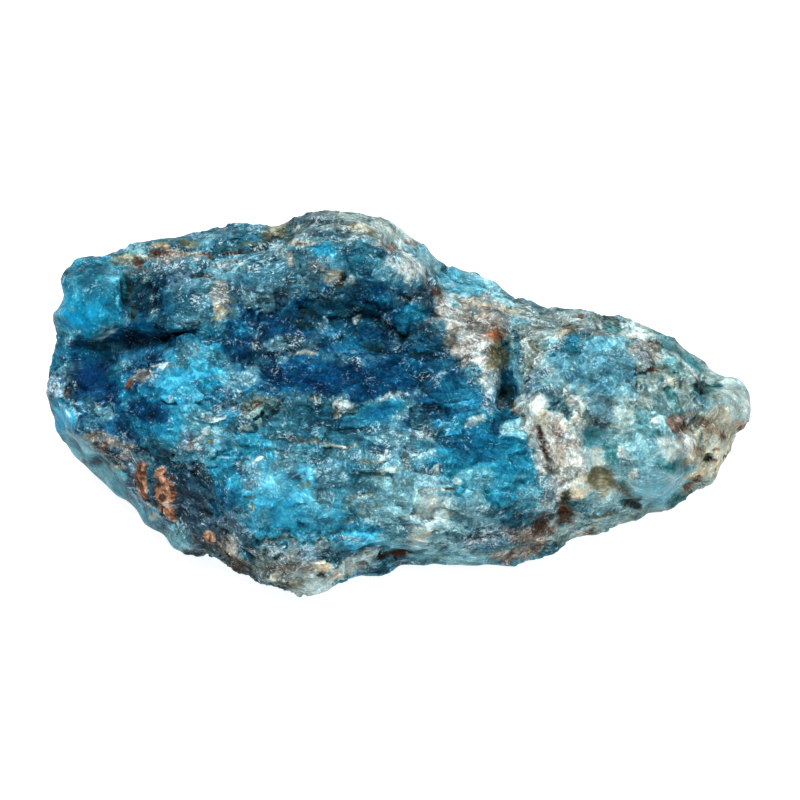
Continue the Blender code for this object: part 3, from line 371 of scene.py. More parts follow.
    (-9.8, -8.4, -13.9, -12.8, M.CHALK, 0.5), (-11.9, -7.2, -14.6, -13.8, M.MUD, 0.55),
    (-10.95, -9.9, -14.95, -14.4, M.CREAM, 0.8, 0, B.CRISP), (-10.8, -8.2, -15.9, -15.1, M.OLIVE, 0.7),
    (-10.4, -9, -15.8, -15.3, M.PITCH, 0.5), (-12.2, -9.4, -16.4, -15.2, M.GREY_BLUE, 0.7, -20),
    (-8.8, -5.2, -17.6, -14.8, M.MINT, 0.8, 10), (-8.8, -7.1, -13.8, -12.6, M.LAVENDER, 0.7),
    (-7.2, -4.6, -13.8, -12.3, M.DARK_TEAL, 0.75), (-7.4, -5.7, -14.5, -13.7, M.SAND, 0.9),
    (-7.05, -6.5, -14.95, -14.55, M.PITCH, 0.85, 0, B.CRISP), (-6, -3.8, -14.9, -14, M.CREAM, 0.9, 14),
    (-5.6, -4.8, -14.6, -14.3, M.CRUST, 0.6, 14), (-5.2, -1.8, -14.1, -12.9, M.MINT, 0.95, 18, B.CRISP),
    (-3.9, -2.6, -14.1, -13.6, M.BROWN, 0.35, 14), (-3.5, -2.7, -14, -13.6, M.SAND, 0.6),
    (-2.9, -1.6, -12.75, -12.35, M.CHALK, 0.7, 8, B.CRISP),
    (-3.4, 0, -15.2, -13.7, M.TEAL, 0.8, 14, B.SOFT), (-0.4, 5.2, -14.2, -12.6, M.LAGOON, 0.8, 2),
    (-1.95, 1.2, -13.4, -12.75, M.BROWN, 0.95, 9, B.CRISP),
    (-1.85, -1.2, -13.75, -13.2, M.PITCH, 0.8, 0, B.CRISP), (-0.8, 0.4, -13.5, -13, M.RUST, 0.6, 9),
    (0.4, 2, -13.1, -12.8, M.PITCH, 0.6, -4, B.CRISP),
    # blue right half of the front
    (3.2, 11.8, -6.6, -1, M.OCEAN, 0.9), (4, 9.4, -5.2, -2.2, M.DEEP_BLUE, 0.45),
    (3.4, 9.6, -7.4, -5.8, M.ICE, 0.5), (7.4, 9, -7.8, -5.4, M.OCEAN, 0.7),
    # the crisp chalk streak here is a painted glint
    (6.7, 8.7, -1.4, 0.8, M.LAVENDER, 0.75, 20), (5.3, 7.4, -2, -1.1, M.CHALK, 0.75, 32, B.CRISP),
    (7, 10, -3.3, -1, M.NAVY, 0.8, 20, B.SOFT), (8.4, 11.8, -3.2, -1.7, M.ICE, 0.9, 12, B.CRISP),
    (9.8, 11.8, -2.8, -1.2, M.CHALK, 0.5, 12), (9.8, 11.8, -4.4, -3.2, M.DARK_TEAL, 0.45),
    (8.6, 11.4, -5.8, -4.2, M.SKY, 0.5), (2.7, 3.4, -5.8, -5.2, M.CHALK),
    (4.4, 5.3, -7, -6.5, M.CHALK, 0.6, -20), (9.4, 12.2, -9, -6.4, M.TEAL, 0.7),
    (7.4, 12.4, -10.8, -8.6, M.DARK_TEAL, 0.85, 8), (4.2, 8.2, -10.8, -7.6, M.LAGOON, 0.85, 6),
    (7.6, 11.4, -10.2, -9, M.NAVY, 0.4, 6), (6.2, 8, -9.4, -8.6, M.FROST, 0.6),
    (4.8, 9.4, -12.6, -10.6, M.LAVENDER, 0.85, 4), (4.8, 8.6, -12.6, -10.8, M.FROST, 0.75),
    (6.1, 7.5, -12.1, -11.8, M.CHALK, 0.7, 0, B.CRISP), (5.2, 6.3, -12.9, -12.4, M.CHALK, 0.5),
    (8.3, 9.9, -11.6, -10.5, M.LAVENDER), (3, 8.8, -14.4, -12.9, M.LAGOON, 0.8, 0, B.SOFT),
    (9.2, 12.9, -13.8, -9.8, M.MUD, 0.95, 20), (9.6, 11.4, -13.2, -11.4, M.GREY_BLUE, 0.4, 20),
    (7.6, 10.6, -14, -12.6, M.MUD, 0.8, 6), (10.7, 12.4, -11.2, -9.6, M.BROWN, 0.6, 20),
    (11.2, 11.9, -12.7, -12, M.RUST, 0.6),
    # far ridge, seam and slit
    (3, 11.6, 7.8, 11.5, M.ICE, 0.9, -20), (3.4, 7, 9, 11.2, M.SKY, 0.45, -20),
    (5, 8, 8.7, 9.4, M.OCEAN, 0.5, -20), (2.9, 9, 3, 8.8, M.ROSE, 0.85, -28),
    (6.4, 9.6, 6, 8, M.MUD, 0.45, -10), (3.5, 5.8, 5.2, 8.2, M.CHALK, 0.55, -25),
    (5.1, 5.8, 5, 6.6, M.CHALK, 0.8), (1.4, 5, 1.6, 5.2, M.NAVY, 0.85, -30),
    (2.8, 5.2, 7.4, 9.6, M.CHALK, 0.6, -20), (6, 7.6, 1.4, 4.8, M.CHALK, 0.75, 25),
    (1.8, 3.9, 4, 6.8, M.NAVY, 0.75), (2.5, 3.5, 8.8, 9.8, M.BROWN, 0.85, -50, B.CRISP),
    (3.1, 4, 8.1, 9, M.ROSE, 0.8), (5.2, 8.4, 7.9, 8.35, M.SAND, 0.6, -4),
    (8.8, 11.4, 7.2, 7.9, M.SAND, 0.7, -4), (10.1, 10.8, 7.4, 7.8, M.RUST, 0.85, 0, B.CRISP),
    (7.1, 8.7, 4.9, 6, M.CRUST, 0.7), (7.3, 8.6, 4.9, 5.9, M.RUST, 0.8),
    (7.7, 8.6, 4.8, 5.7, M.BROWN, 0.8), (7.1, 9.1, 2.5, 4.9, M.OLIVE),
    (8.65, 9.1, 2.5, 5.2, M.PITCH, 0.5, 0, B.CRISP), (6.4, 8.2, 0.4, 2.2, M.CHALK, 0.6, -30),
    (9.2, 10.1, 0.4, 6.2, M.TEAL, 0.9, 0, B.CRISP), (8.25, 9.5, -0.1, 2.55, M.NAVY, 1, 0, B.CRISP),
    (8.4, 9.3, -0.8, 1.4, M.PITCH, 0.75, 0, B.CRISP), (8.9, 10.4, -1.6, -0.5, M.BROWN, 0.9),
    (10, 12, 0.8, 7.2, M.CREST_GREY, 0.95), (10.4, 12, 2, 3.6, M.CHALK, 0.2),
    (10.8, 11.6, 3.6, 5, M.OLIVE, 0.75), (9.9, 11.6, 0.6, 1.9, M.LAVENDER, 0.6),
    (9.6, 12.8, -1.2, 0.5, M.CHALK, 0.75), (10.2, 12.8, 0, 2.2, M.GREY_BLUE, 0.75),
    (11, 11.95, -1, -0.1, M.RUST, 0.85, 0, B.CRISP),
    # pale vein
    (11.2, 15.8, -6.8, 0.2, M.CHALK, 1, 20), (11.2, 13, -2.8, -1, M.CREAM, 0.7),
    (12.8, 13.8, -4.4, -1.7, M.MUD, 0.5, 15), (12.9, 13.5, -3, -1.9, M.BROWN, 0.45),
    (14.1, 15.4, -3.8, -1.6, M.ROSE, 0.35), (14.4, 15.7, -2, -1, M.CRUST, 0.45),
    (12.8, 14.8, -6.8, -2.6, M.MUD, 0.35, 15), (13, 14.6, -6.4, -3.8, M.SAND, 0.4, 15),
    (13.2, 14.2, -5.6, -4.7, M.SAND, 0.7), (11.45, 12.05, -3.4, -2.2, M.BROWN, 0.9, 0, B.CRISP),
    (11.9, 12.4, -5.2, -3, M.BROWN, 0.9, 24, B.CRISP), (12.3, 13, -6.2, -5, M.BROWN, 0.6, 35, B.CRISP),
    (14, 15.7, -6.8, -4, M.CHALK, 0.95, 10), (11.4, 13.8, -7.6, -6, M.FROST),
    (12, 13.8, -9.6, -6.8, M.LAVENDER, 0.8, -20), (12.4, 13.6, -9.3, -7.6, M.CHALK, 0.5, -20),
    (12.4, 15.6, -8.2, -5.4, M.CHALK, 0.95, 10), (14, 16.3, -8.8, -6.5, M.CREAM, 0.95),
    (14.3, 15.1, -8.5, -7.9, M.RUST, 0.35), (15.4, 16.1, -7.4, -6.8, M.SAND, 0.6),
    (14.2, 16, -8.5, -6.8, M.CREAM, 0.8), (14.5, 15.3, -8.3, -7.8, M.SAND, 0.6),
    (13.3, 14.2, -9.4, -7.6, M.OLIVE, 0.95, -8, B.CRISP), (13.5, 14.1, -9, -8, M.PITCH, 0.7),
    (13.9, 15.3, -10, -8.7, M.DARK_TEAL, 0.7), (12.8, 14.6, -10.5, -8.8, M.BROWN, 0.75, -10),
    (13.1, 13.9, -10, -9.2, M.RUST, 0.6), (12.5, 15.4, -12.6, -10.9, M.SEA_GREEN, 0.85, 20),
    # right lobe, blue middle and upper edge
    (9.6, 20, 5.6, 8.2, M.CREST_GREY, 0.8, -6), (15, 17, 6.3, 6.8, M.CHALK, 0.5),
    (13.4, 15.2, 5.8, 6.6, M.OLIVE, 0.5), (15.1, 15.7, 6.9, 7.6, M.RUST, 0.9, 0, B.CRISP),
    (17.1, 18.9, 5.9, 6.9, M.DEEP_SEA, 0.75, -10, B.CRISP), (18.8, 21, 5.3, 7.1, M.MINT, 0.95, -15),
    (19, 20, 5.6, 6.6, M.ICE, 0.6), (12, 20.4, 0.6, 5.6, M.LAGOON, 0.95),
    (12.6, 18.8, 1, 5.4, M.TEAL, 0.9), (12.2, 15.4, 1.6, 4.8, M.DARK_TEAL, 0.5),
    (14.2, 15.3, 3.9, 5.5, M.OCEAN, 0.55), (12.4, 14.2, 3.9, 4.9, M.FROST, 0.6),
    (15.4, 19, 4.2, 5.6, M.SKY, 0.3, 0, B.SOFT), (14.6, 20.2, -0.2, 2.8, M.TEAL, 0.55),
    (12.9, 14.4, 5.3, 5.9, M.CRUST, 0.5, 20), (14.4, 19.4, 5.55, 5.95, M.MUD, 0.65, -3),
    (19.2, 22.4, 3.3, 5.2, M.ROSE, 0.75, -38), (19.6, 21.2, 3.2, 4.6, M.LAVENDER, 0.5),
    (21, 22, 5.2, 5.9, M.CREAM, 0.6), (21.4, 23.3, 5.2, 6.1, M.SEA_TEAL, 0.95, -20, B.CRISP),
    (21.6, 26.6, 1.8, 5.2, M.SEA_GREEN, 0.9, -40), (21.8, 24, 3.4, 4.9, M.SEA_TEAL, 0.5, -40),
    (22.4, 24.4, 2, 3.6, M.SEA_TEAL, 0.6, -45), (21.5, 26.5, 3.4, 4.4, M.SEA_TEAL, 1, -38, B.CRISP),
    # the thin chalk lines here are a painted highlight along an edge
    (22.5, 26.1, 2.9, 3.25, M.CHALK, 0.9, -36, B.CRISP), (24, 26, 2.1, 2.6, M.CHALK, 0.5, -35),
    (19, 20.8, 2.2, 2.6, M.NAVY, 0.85, 8, B.CRISP), (20.7, 21.6, 2.5, 3, M.BROWN, 0.95, -10, B.CRISP),
    (22.3, 22.8, 2.7, 3.1, M.BROWN, 0.6), (22, 23.4, 1.5, 2.1, M.CREAM, 0.9, -55, B.CRISP),
    (21.8, 23.6, 0.2, 1, M.DEEP_SEA, 0.95, -58, B.CRISP), (22.6, 23.8, -1.1, -0.3, M.DEEP_SEA, 0.7, -50),
    (24.6, 26.2, 0.9, 1.9, M.PITCH, 0.85, -6, B.CRISP), (25.6, 27.6, 0.7, 1.8, M.DEEP_SEA, 0.8, -8),
    (25.9, 31.4, -3.4, 2.8, M.MINT, 0.95), (26.2, 29.8, -1.8, 1.8, M.SEA_GREEN, 0.45, 0, B.SOFT),
    (25.6, 27.4, 0.8, 1.7, M.DEEP_SEA, 0.7, -8), (24.4, 27, -1, 0.8, M.LAGOON, 0.55),
    (26.4, 27.4, 0, 0.5, M.OLIVE, 0.6),
    # right lobe, crystal faces beside the vein
    (14.2, 17.9, -2.4, 0.6, M.SEA_GREEN), (15.4, 17.8, -2, 0.6, M.GREY_BLUE, 0.8, 10, B.CRISP),
    (15.8, 17.4, -1.6, 0.2, M.GLASS, 0.5, 10, B.SOFT), (15.4, 17.3, -3.9, -1.9, M.GLASS, 1, 12, B.CRISP),
    (15.6, 17.1, -3.8, -2.1, M.DEEP_SEA, 0.55, 12, B.SOFT),
    (17.5, 19.8, -1.7, -0.5, M.SEA_GREEN, 0.9, -12, B.CRISP),
    (17.6, 19.4, -1.3, -0.6, M.MINT, 0.7, -12, B.CRISP),
    (17.3, 18.8, -3.2, -1.8, M.SEA_GREEN, 0.85, 20, B.CRISP), (18.8, 21.8, -2.8, -1, M.SEA_TEAL, 0.75),
    # the crisp chalk spot here is a painted glint
    (19.6, 22.6, -2.8, -0.6, M.ICE, 0.5), (21, 21.5, -2, -1.2, M.CHALK, 0.9, 0, B.CRISP),
    (21.2, 23.4, -2, 0.4, M.LAGOON, 0.6), (15.2, 17.4, -5.9, -3.8, M.MINT, 0.95, 6, B.CRISP),
    (15.8, 18.3, -8, -5.6, M.OLIVE, 0.85, -20, B.CRISP), (17.4, 19.2, -7.8, -6.6, M.OLIVE, 0.6, -45),
    (15.2, 19.6, -9.9, -7.4, M.LAGOON, 0.8, -16), (16.2, 18.6, -8.6, -7, M.MINT, 0.5, -20),
    (15.4, 16.2, -9.6, -8.4, M.FROST, 0.6), (16, 19.4, -9.95, -9.6, M.OLIVE, 0.85, 10, B.CRISP),
    (14, 21, -11.2, -9.9, M.SEA_GREEN, 0.8, 14), (16.4, 19.6, -10.7, -10.2, M.DEEP_SEA, 0.4, 8),
    (15.2, 17.2, -11.9, -10.9, M.MUD, 0.75, 20),
    # glassy pebble
    (17.4, 25, -9.6, -2.4, M.LAGOON, 0.95), (16.9, 18.6, -5.1, -3.4, M.SEA_TEAL, 0.85, 0, B.CRISP),
    (20.2, 24.4, -5.1, -2.9, M.ICE, 0.8), (22, 24.8, -4.9, -3.1, M.CHALK, 0.7),
    # the crisp chalk spots here and on the next line are painted glints
    (20.2, 22.2, -3.2, -2.2, M.SEA_TEAL, 0.6), (18.3, 18.9, -4.7, -3.8, M.CHALK, 0.85, 0, B.CRISP),
    (19.45, 19.9, -6.9, -5.9, M.CHALK, 0.8, 0, B.CRISP), (22.2, 25, -5.4, -3, M.MINT, 0.65),
    (15.8, 18.3, -8, -5.7, M.OLIVE, 0.75, -20, B.CRISP),
    (21.6, 23.5, -6.4, -5.2, M.SEA_TEAL, 0.95, 0, B.CRISP), (22, 23.2, -6.2, -5.4, M.DEEP_SEA, 0.6),
    (22, 23.4, -7.2, -6.4, M.MINT, 0.5), (19.2, 24.2, -9.4, -7, M.GLASS, 0.95, 8, B.SOFT),
    (18, 20.4, -8.2, -7.8, M.OLIVE, 0.7, -40), (18.9, 20.2, -7.6, -7.2, M.CREAM, 0.5, -45),
    (19.2, 20.6, -9.5, -8.6, M.PITCH, 0.9, -18, B.CRISP), (19, 20, -9.3, -8.8, M.BROWN, 0.6),
    (22.6, 25, -9.2, -7.9, M.DEEP_SEA, 0.75, 38),
    # crumbly pale end under the nose
    (22.4, 25.4, -3.1, -0.9, M.MUD, 0.9, -20), (22.8, 24.2, -2.8, -1.4, M.BROWN, 0.5, -40),
    (24.4, 29.6, -3.6, -0.8, M.SAND, 0.6, -18), (25.2, 26.4, -1.9, -1.1, M.BROWN, 0.5, -10),
    (23.2, 25.4, -4.8, -2.6, M.CHALK, 0.9), (24.8, 30.6, -7, -2.6, M.CREAM, 0.95),
    (24.8, 26.2, -4.8, -3.2, M.OLIVE, 0.5), (26.4, 27, -4.2, -3.8, M.RUST, 0.7),
    (27.3, 27.8, -4.9, -4.4, M.BROWN, 0.8), (25, 25.4, -4, -3.6, M.RUST, 0.8),
    (26.7, 27.1, -6, -5.6, M.RUST, 0.7), (24.5, 25, -5.4, -5, M.MUD, 0.7),
    (27, 27.6, -3.4, -2.4, M.RUST, 0.7), (25.2, 27, -2.6, -2, M.RUST, 0.35, -20),
    (28, 29.2, -2.4, -1.9, M.CRUST, 0.6), (25.6, 26.5, -5.3, -4.6, M.PITCH, 0.95, 20, B.CRISP),
    (26.4, 26.9, -5.3, -5, M.RUST, 0.7), (23.6, 27.2, -7.4, -5.8, M.SAND, 0.75, 35),
    (23.9, 25.4, -7.8, -6.6, M.BROWN, 0.6, 45), (25, 27, -7.6, -6.2, M.SEA_GREEN, 0.6, 40),
)

BACK_PATCHES = patches(
    (-31, 8, -18, 18, M.OCEAN, 1), (6, 32, -16, 12, M.LAGOON, 1), (-30, -18, -12, 14, M.TEAL, 0.8),
    (-27, -20, 2, 10, M.SLATE, 0.8, 30), (-24, -17, 8, 14, M.SKY, 0.7),
    (-20, -8, 3, 8, M.DEEP_BLUE, 0.85, 8), (-16, -4, 9, 14, M.DARK_TEAL, 0.8, 6),
    (-10, -3, 11, 16, M.CREST_GREY, 0.75), (-8, 2, 4, 9, M.NAVY, 0.7, -6),
    (-6, 0, 6, 8, M.FROST, 0.6, 8), (-14, -9, 6, 9, M.LAVENDER, 0.6, 10),
    (-2, 6, 8, 13, M.ICE, 0.75, -20), (0, 9, 1, 7, M.SKY, 0.6, -12),
    (6, 12, -6, 9, M.ROSE, 0.6, 24, B.SOFT), (8, 10, 1, 7, M.CHALK, 0.35, 30, B.SOFT),
    (9, 12, -3, 0, M.RUST, 0.6), (12, 20, -3, 5, M.SEA_GREEN, 0.7, -16),
    (14, 19, 0, 4, M.TEAL, 0.6, -16), (20, 27, -6, 2, M.CREST_GREY, 0.8, -30),
    (21, 24, -3, 1, M.MUD, 0.6, -30), (25, 28, -4, 0, M.SAND, 0.6),
    (-22, -12, -6, 1, M.SLATE, 0.85, -12), (-12, 4, -8, 2, M.DARK_TEAL, 0.8),
    (-8, 6, -13, -7, M.GREY_BLUE, 0.8), (-16, -10, -12, -7, M.MUD, 0.8, -20),
    (-20, -16, -8, -3, M.RUST, 0.55, -30), (-3, 3, -4, 0, M.SAND, 0.6), (4, 12, -12, -6, M.MUD, 0.7, 14),
    (6, 9, -9, -7, M.RUST, 0.5), (13, 21, -10, -5, M.LAGOON, 0.8, 20), (-28, -24, -3, 3, M.OCEAN, 0.8),
    (-6, 2, 0, 2.4, M.FROST, 0.5, 4),
)

MARKS = marks(
    (-4.7, 10.2, 0.38, 0.38, -0.3), (-18.2, 4.9, 1.2, 0.5, 0.9), (-7.2, 7.4, 1.6, 0.5, 0.4),
    (-23, 9.4, 0.4, 1.8, -0.5), (8.7, 0, 0.5, 0.9, -0.6), (26.1, -4.9, 0.5, 0.4, -0.6),
    (-4.1, -10.1, 0.6, 0.35, -0.25, 30), (12.2, -4, 0.3, 1.6, -0.45, 26),
    (19.6, -8.9, 1, 0.3, -0.5, -18), (13.5, -8.6, 0.6, 1, -0.4), (-14, 12.5, 1.8, 0.25, -0.4, 3),
    (-22, 11.8, 0.7, 0.25, -0.35), (-1, -13.1, 1.4, 0.3, -0.45, 9), (-3.2, -13.9, 0.6, 0.3, -0.4, 14),
    (-4.4, -0.4, 1.2, 0.4, 0.25, 4), (6.2, -1.5, 1, 0.5, 0.3, 20), (9.8, -2.4, 1.4, 0.9, 0.35, 12),
    (-11.7, -5.4, 0.8, 0.3, 0.25, 18), (-21.6, -6.7, 0.5, 1.5, 0.2, 5), (-19.5, -8, 0.8, 2.1, 0.25, 5),
    (-15.9, -11.4, 0.6, 0.6, 0.18),
)

GLASSY_SPOTS = marks(
    (-26.3, 8.5, 3.2, 3.4, 0.6), (-24, 4.6, 5, 1.2, 0.7, 4), (-25.9, 1.8, 1.3, 1.1, 0.9),
    (-28.4, -1.8, 1, 1.3, 0.7), (-29.8, -0.8, 1.2, 1.6, 0.7), (-20.9, -0.9, 1.2, 0.9, 0.4),
    (-26.8, -4.9, 3.4, 1.2, 0.9, -42), (-24.2, -7.6, 2.8, 1.3, 0.9, -35),
    (-21, -10.9, 3.4, 1.4, 0.8, -38), (-10.4, -7.2, 2.8, 1.8, 0.5, -10), (-1.6, -1, 2, 1, 0.7, 8),
    (-7, -15.8, 1.5, 0.9, 0.7), (5.5, -13.7, 3.2, 0.7, 0.6), (2.6, 11.9, 1.1, 1, 0.7, -30),
    (8.9, 1.3, 0.6, 1.3, 0.8), (16.6, -0.7, 1.1, 1.1, 0.6), (16.4, -2.9, 1, 1, 0.8, 12),
    (18.6, -1.1, 1.2, 0.5, 0.7, -12), (16.4, -4.9, 1.1, 1, 0.7), (16.8, -7, 1.5, 1.1, 0.7, -10),
    (21.7, -7.4, 2.9, 2, 0.8), (22.3, -3.9, 2.2, 1.2, 0.5), (24, 3.9, 2.4, 0.5, 0.8, -38),
    (28.4, 0, 2.4, 2.2, 0.6),
)


def screen_to_light(levels: np.ndarray) -> np.ndarray:
    """Turn screen levels into amounts of light.

    Args:
        levels: Red, green and blue from 0 to 255, in the last axis.

    Returns:
        The same colours as shares of light.
    """
    share = levels / 255.0
    return np.where(share <= 0.04045, share / 12.92, ((share + 0.055) / 1.055) ** 2.4)


def smoothed(share: np.ndarray) -> np.ndarray:
    """Ease a share from 0 to 1 at both ends."""
    held = np.clip(share, 0.0, 1.0)
    return held * held * (3.0 - 2.0 * held)


def turned(places: np.ndarray, degrees: float) -> tuple[np.ndarray, np.ndarray]:
    """Measure places along a turned direction.

    Args:
        places: Rows that begin with u and v.
        degrees: How far the direction is turned from u.

    Returns:
        How far each place lies along the direction, and how far across it.
    """
    turn = radians(degrees)
    along = places[:, 0] * cos(turn) + places[:, 1] * sin(turn)
    across = places[:, 1] * cos(turn) - places[:, 0] * sin(turn)
    return along, across


@dataclass(frozen=True)
class FaceFrame:
    """The stone's own directions, and where they lie in the row frame."""

    lean: float = radians(40.0)
    setback: float = -2.9
    rest_height: float = 13.0

    def to_face(self, points: np.ndarray) -> np.ndarray:
        """Points in metres as u, v, w in millimetres.

        Args:
            points: Rows of x, y, z.

        Returns:
            Rows of u, v, w.
        """
        away = points[:, 1] / MM - self.setback
        up = points[:, 2] / MM - self.rest_height
        v = cos(self.lean) * away + sin(self.lean) * up
        w = cos(self.lean) * up - sin(self.lean) * away
        return np.column_stack((points[:, 0] / MM, v, w))

    def to_row(self, u: float, v: float, w: float) -> Vector:
        """A point of the face in the row frame, in metres.

        Args:
            u: Along the stone, in millimetres.
            v: Up the face.
            w: Out of the face.

        Returns:
            The same point as x, y, z.
        """
        away = cos(self.lean) * v - sin(self.lean) * w
        up = sin(self.lean) * v + cos(self.lean) * w
        return Vector((u, away + self.setback, up + self.rest_height)) * MM

    def facing(self, normals: np.ndarray) -> np.ndarray:
        """How far each normal points out of the face, from -1 to 1."""
        return normals[:, 2] * cos(self.lean) - normals[:, 1] * sin(self.lean)


class Draw(IntEnum):
    """Where the random numbers of each pattern start."""

    PUSH = 40
    TURNOVER = 60
    LEDGE_WAVER = 70
    LEDGE_CHIP = 75
    PATCHINESS = 80
    CRUMB = 85
    FINE_CRUMB = 86
    FACET = 100
    TATTER = 200


class Fracture:
    """Repeatable broken patterns at points in millimetres."""

    AXIS_KEYS = (73856093, 19349663, 83492791)
    SEED_KEY = 2654435
    SEED_START = 977
    STIRS = ((16, 2246822507), (13, 3266489909))
    LARGEST = 4294967295.0
    LAYERS = 3
    LAYER_FADE = 0.55
    LAYER_TOTAL = 1.6

    @classmethod
    def chance(cls, cells: np.ndarray, seed: int) -> np.ndarray:
        """A number from 0 to 1 for each whole-number cell.

        Args:
            cells: Rows of three whole numbers.
            seed: Picks another set of numbers.

        Returns:
            One number for each row.
        """
        keys = cells.astype(np.int64).astype(np.uint32)
        mixed = np.full(len(keys), seed * cls.SEED_KEY + cls.SEED_START, np.uint32)
        for axis, key in enumerate(cls.AXIS_KEYS):
            mixed ^= keys[:, axis] * np.uint32(key)
        for shift, factor in cls.STIRS:
            mixed ^= mixed >> np.uint32(shift)
            mixed *= np.uint32(factor)
        mixed ^= mixed >> np.uint32(16)
        return mixed / cls.LARGEST

    @classmethod
    def lumps(cls, points: np.ndarray, size: float, seed: int) -> np.ndarray:
        """Smooth lumps and hollows from -1 to 1.

        Args:
            points: Rows of positions.
            size: How far a lump is from the next.
            seed: Picks another pattern.

        Returns:
            One height for each point.
        """
        scaled = points / size
        corner = np.floor(scaled)
        share = smoothed(scaled - corner)
        total = np.zeros(len(points))
        for step in np.ndindex(2, 2, 2):
            weight = np.prod(np.where(step, share, 1.0 - share), axis=1)
            total += weight * cls.chance(corner + step, seed)
        return total * 2.0 - 1.0

    @classmethod
    def rough(cls, points: np.ndarray, size: float, seed: int) -> np.ndarray:
        """Lumps with smaller lumps on them, each layer half the size of the last.

        Args:
            points: Rows of positions.
            size: Size of the largest lumps.
            seed: Picks another pattern.

        Returns:
            One height for each point, from about -1 to 1.
        """
        total, weight = np.zeros(len(points)), 1.0
        for layer in range(cls.LAYERS):
            total += weight * cls.lumps(points, size * 0.5**layer, seed + layer)
            weight *= cls.LAYER_FADE
        return total / cls.LAYER_TOTAL

    @classmethod
    def facets(cls, points: np.ndarray, size: float, seed: int) -> np.ndarray:
        """Flat broken faces, each tilted its own way.

        Args:
            points: Rows of positions.
            size: Size of a face.
            seed: Picks another pattern.

        Returns:
            The height of the face at each point.
        """
        scaled = points / size
        home = np.floor(scaled)
        nearest = np.full(len(points), np.inf)
        height = np.zeros(len(points))
        for step in np.ndindex(3, 3, 3):
            cell = home + np.array(step) - 1.0
            away = scaled - cell
            for axis in range(3):
                away[:, axis] -= cls.chance(cell, seed + axis)
            distance = np.einsum("ij,ij->i", away, away)
            closer = distance < nearest
            nearest[closer] = distance[closer]
            chosen = cell[closer]
            tilt = np.column_stack([cls.chance(chosen, seed + 3 + axis) for axis in range(3)])
            height[closer] = np.einsum("ij,ij->i", away[closer], tilt - 0.5)
        return height * size


@dataclass
class Painter:
    """Lays the minerals, with some painted shade and painted glints, on the stone, as patches with
    ragged edges.
    """

    ragged: tuple[Pair, ...] = ((3.6, 0.4), (1.2, 0.25), (0.5, 0.12))
    tatter_sizes: tuple[float, ...] = (0.45, 0.9, 1.6)
    tatter_spans: tuple[float, ...] = (0.6, 1.5)
    tatter_turns: int = 3
    roundness: float = 2.6
    margin: float = 1.2
    fade_start: float = 0.3
    turnover: float = 0.16
    turnover_waver: float = 0.12
    waver_size: float = 1.5

    def ragged_uv(self, points: np.ndarray) -> np.ndarray:
        """Each point's u and v, pushed about so that patches have ragged edges.

        Args:
            points: Rows of u, v, w.

        Returns:
            Rows of u and v.
        """
        pushed = points[:, :2].copy()
        for layer, (size, reach) in enumerate(self.ragged):
            for axis in range(2):
                pushed[:, axis] += reach * Fracture.lumps(points, size, Draw.PUSH + 2 * layer + axis)
        return pushed

    def tatters(self, points: np.ndarray) -> list[list[np.ndarray]]:
        """How far the borders are torn at each point.

        Args:
            points: Rows of u, v, w.

        Returns:
            Some patterns to take turns with, for each size of patch.
        """
        return [[Fracture.rough(points, size, Draw.TATTER + 20 * rank + 5 * turn)
                 for turn in range(self.tatter_turns)]
                for rank, size in enumerate(self.tatter_sizes)]

    def lay(self, values: np.ndarray, uv: np.ndarray, tatters: list[list[np.ndarray]],
            layers: tuple[Patch, ...]) -> None:
        """Lay patches over each other, in order.

        Args:
            values: One row of finish numbers for each point, changed in place.
            uv: Rows of u and v.
            tatters: How far borders are torn, for each size of patch.
            layers: What is laid, the broadest first.
        """
        for number, patch in enumerate(layers):
            centre = np.array((patch.left + patch.right, patch.low + patch.high)) * 0.5
            half = np.array((patch.right - patch.left, patch.high - patch.low)) * 0.5
            away = uv - centre
            near = np.flatnonzero(np.abs(away).max(axis=1) < self.margin * np.hypot(*half))
            sides = turned(away[near], patch.turn)
            reach = sum((np.abs(side) / size) ** self.roundness for side, size in zip(sides, half))
            reach = reach ** (1 / self.roundness)
            rank = int(np.searchsorted(self.tatter_spans, half.min()))
            tatter, softness = patch.border.value
            reach -= tatter * tatters[rank][number % self.tatter_turns][near]
            weight = patch.strength * smoothed((1.0 - reach) / softness + self.fade_start)
            finish = np.array(astuple(patch.mineral.value))
            values[near] += weight[:, None] * (finish - values[near])

    def finish_at(self, points: np.ndarray, facing: np.ndarray) -> np.ndarray:
        """The finish of the stone at each point.

        Args:
            points: Rows of u, v, w.
            facing: How far each point's normal points out of the face.

        Returns:
            One row of finish numbers for each point.
        """
        uv, tatters = self.ragged_uv(points), self.tatters(points)
        front = np.tile(np.array(astuple(Mineral.TEAL.value), float), (len(points), 1))
        back = front.copy()
        self.lay(front, uv, tatters, FACE_PATCHES)
        self.lay(back, uv, tatters, BACK_PATCHES)
        waver = self.turnover_waver * Fracture.lumps(points, self.waver_size, Draw.TURNOVER)
        share = smoothed((facing + waver + self.turnover) / self.turnover)[:, None]
        return back + share * (front - back)


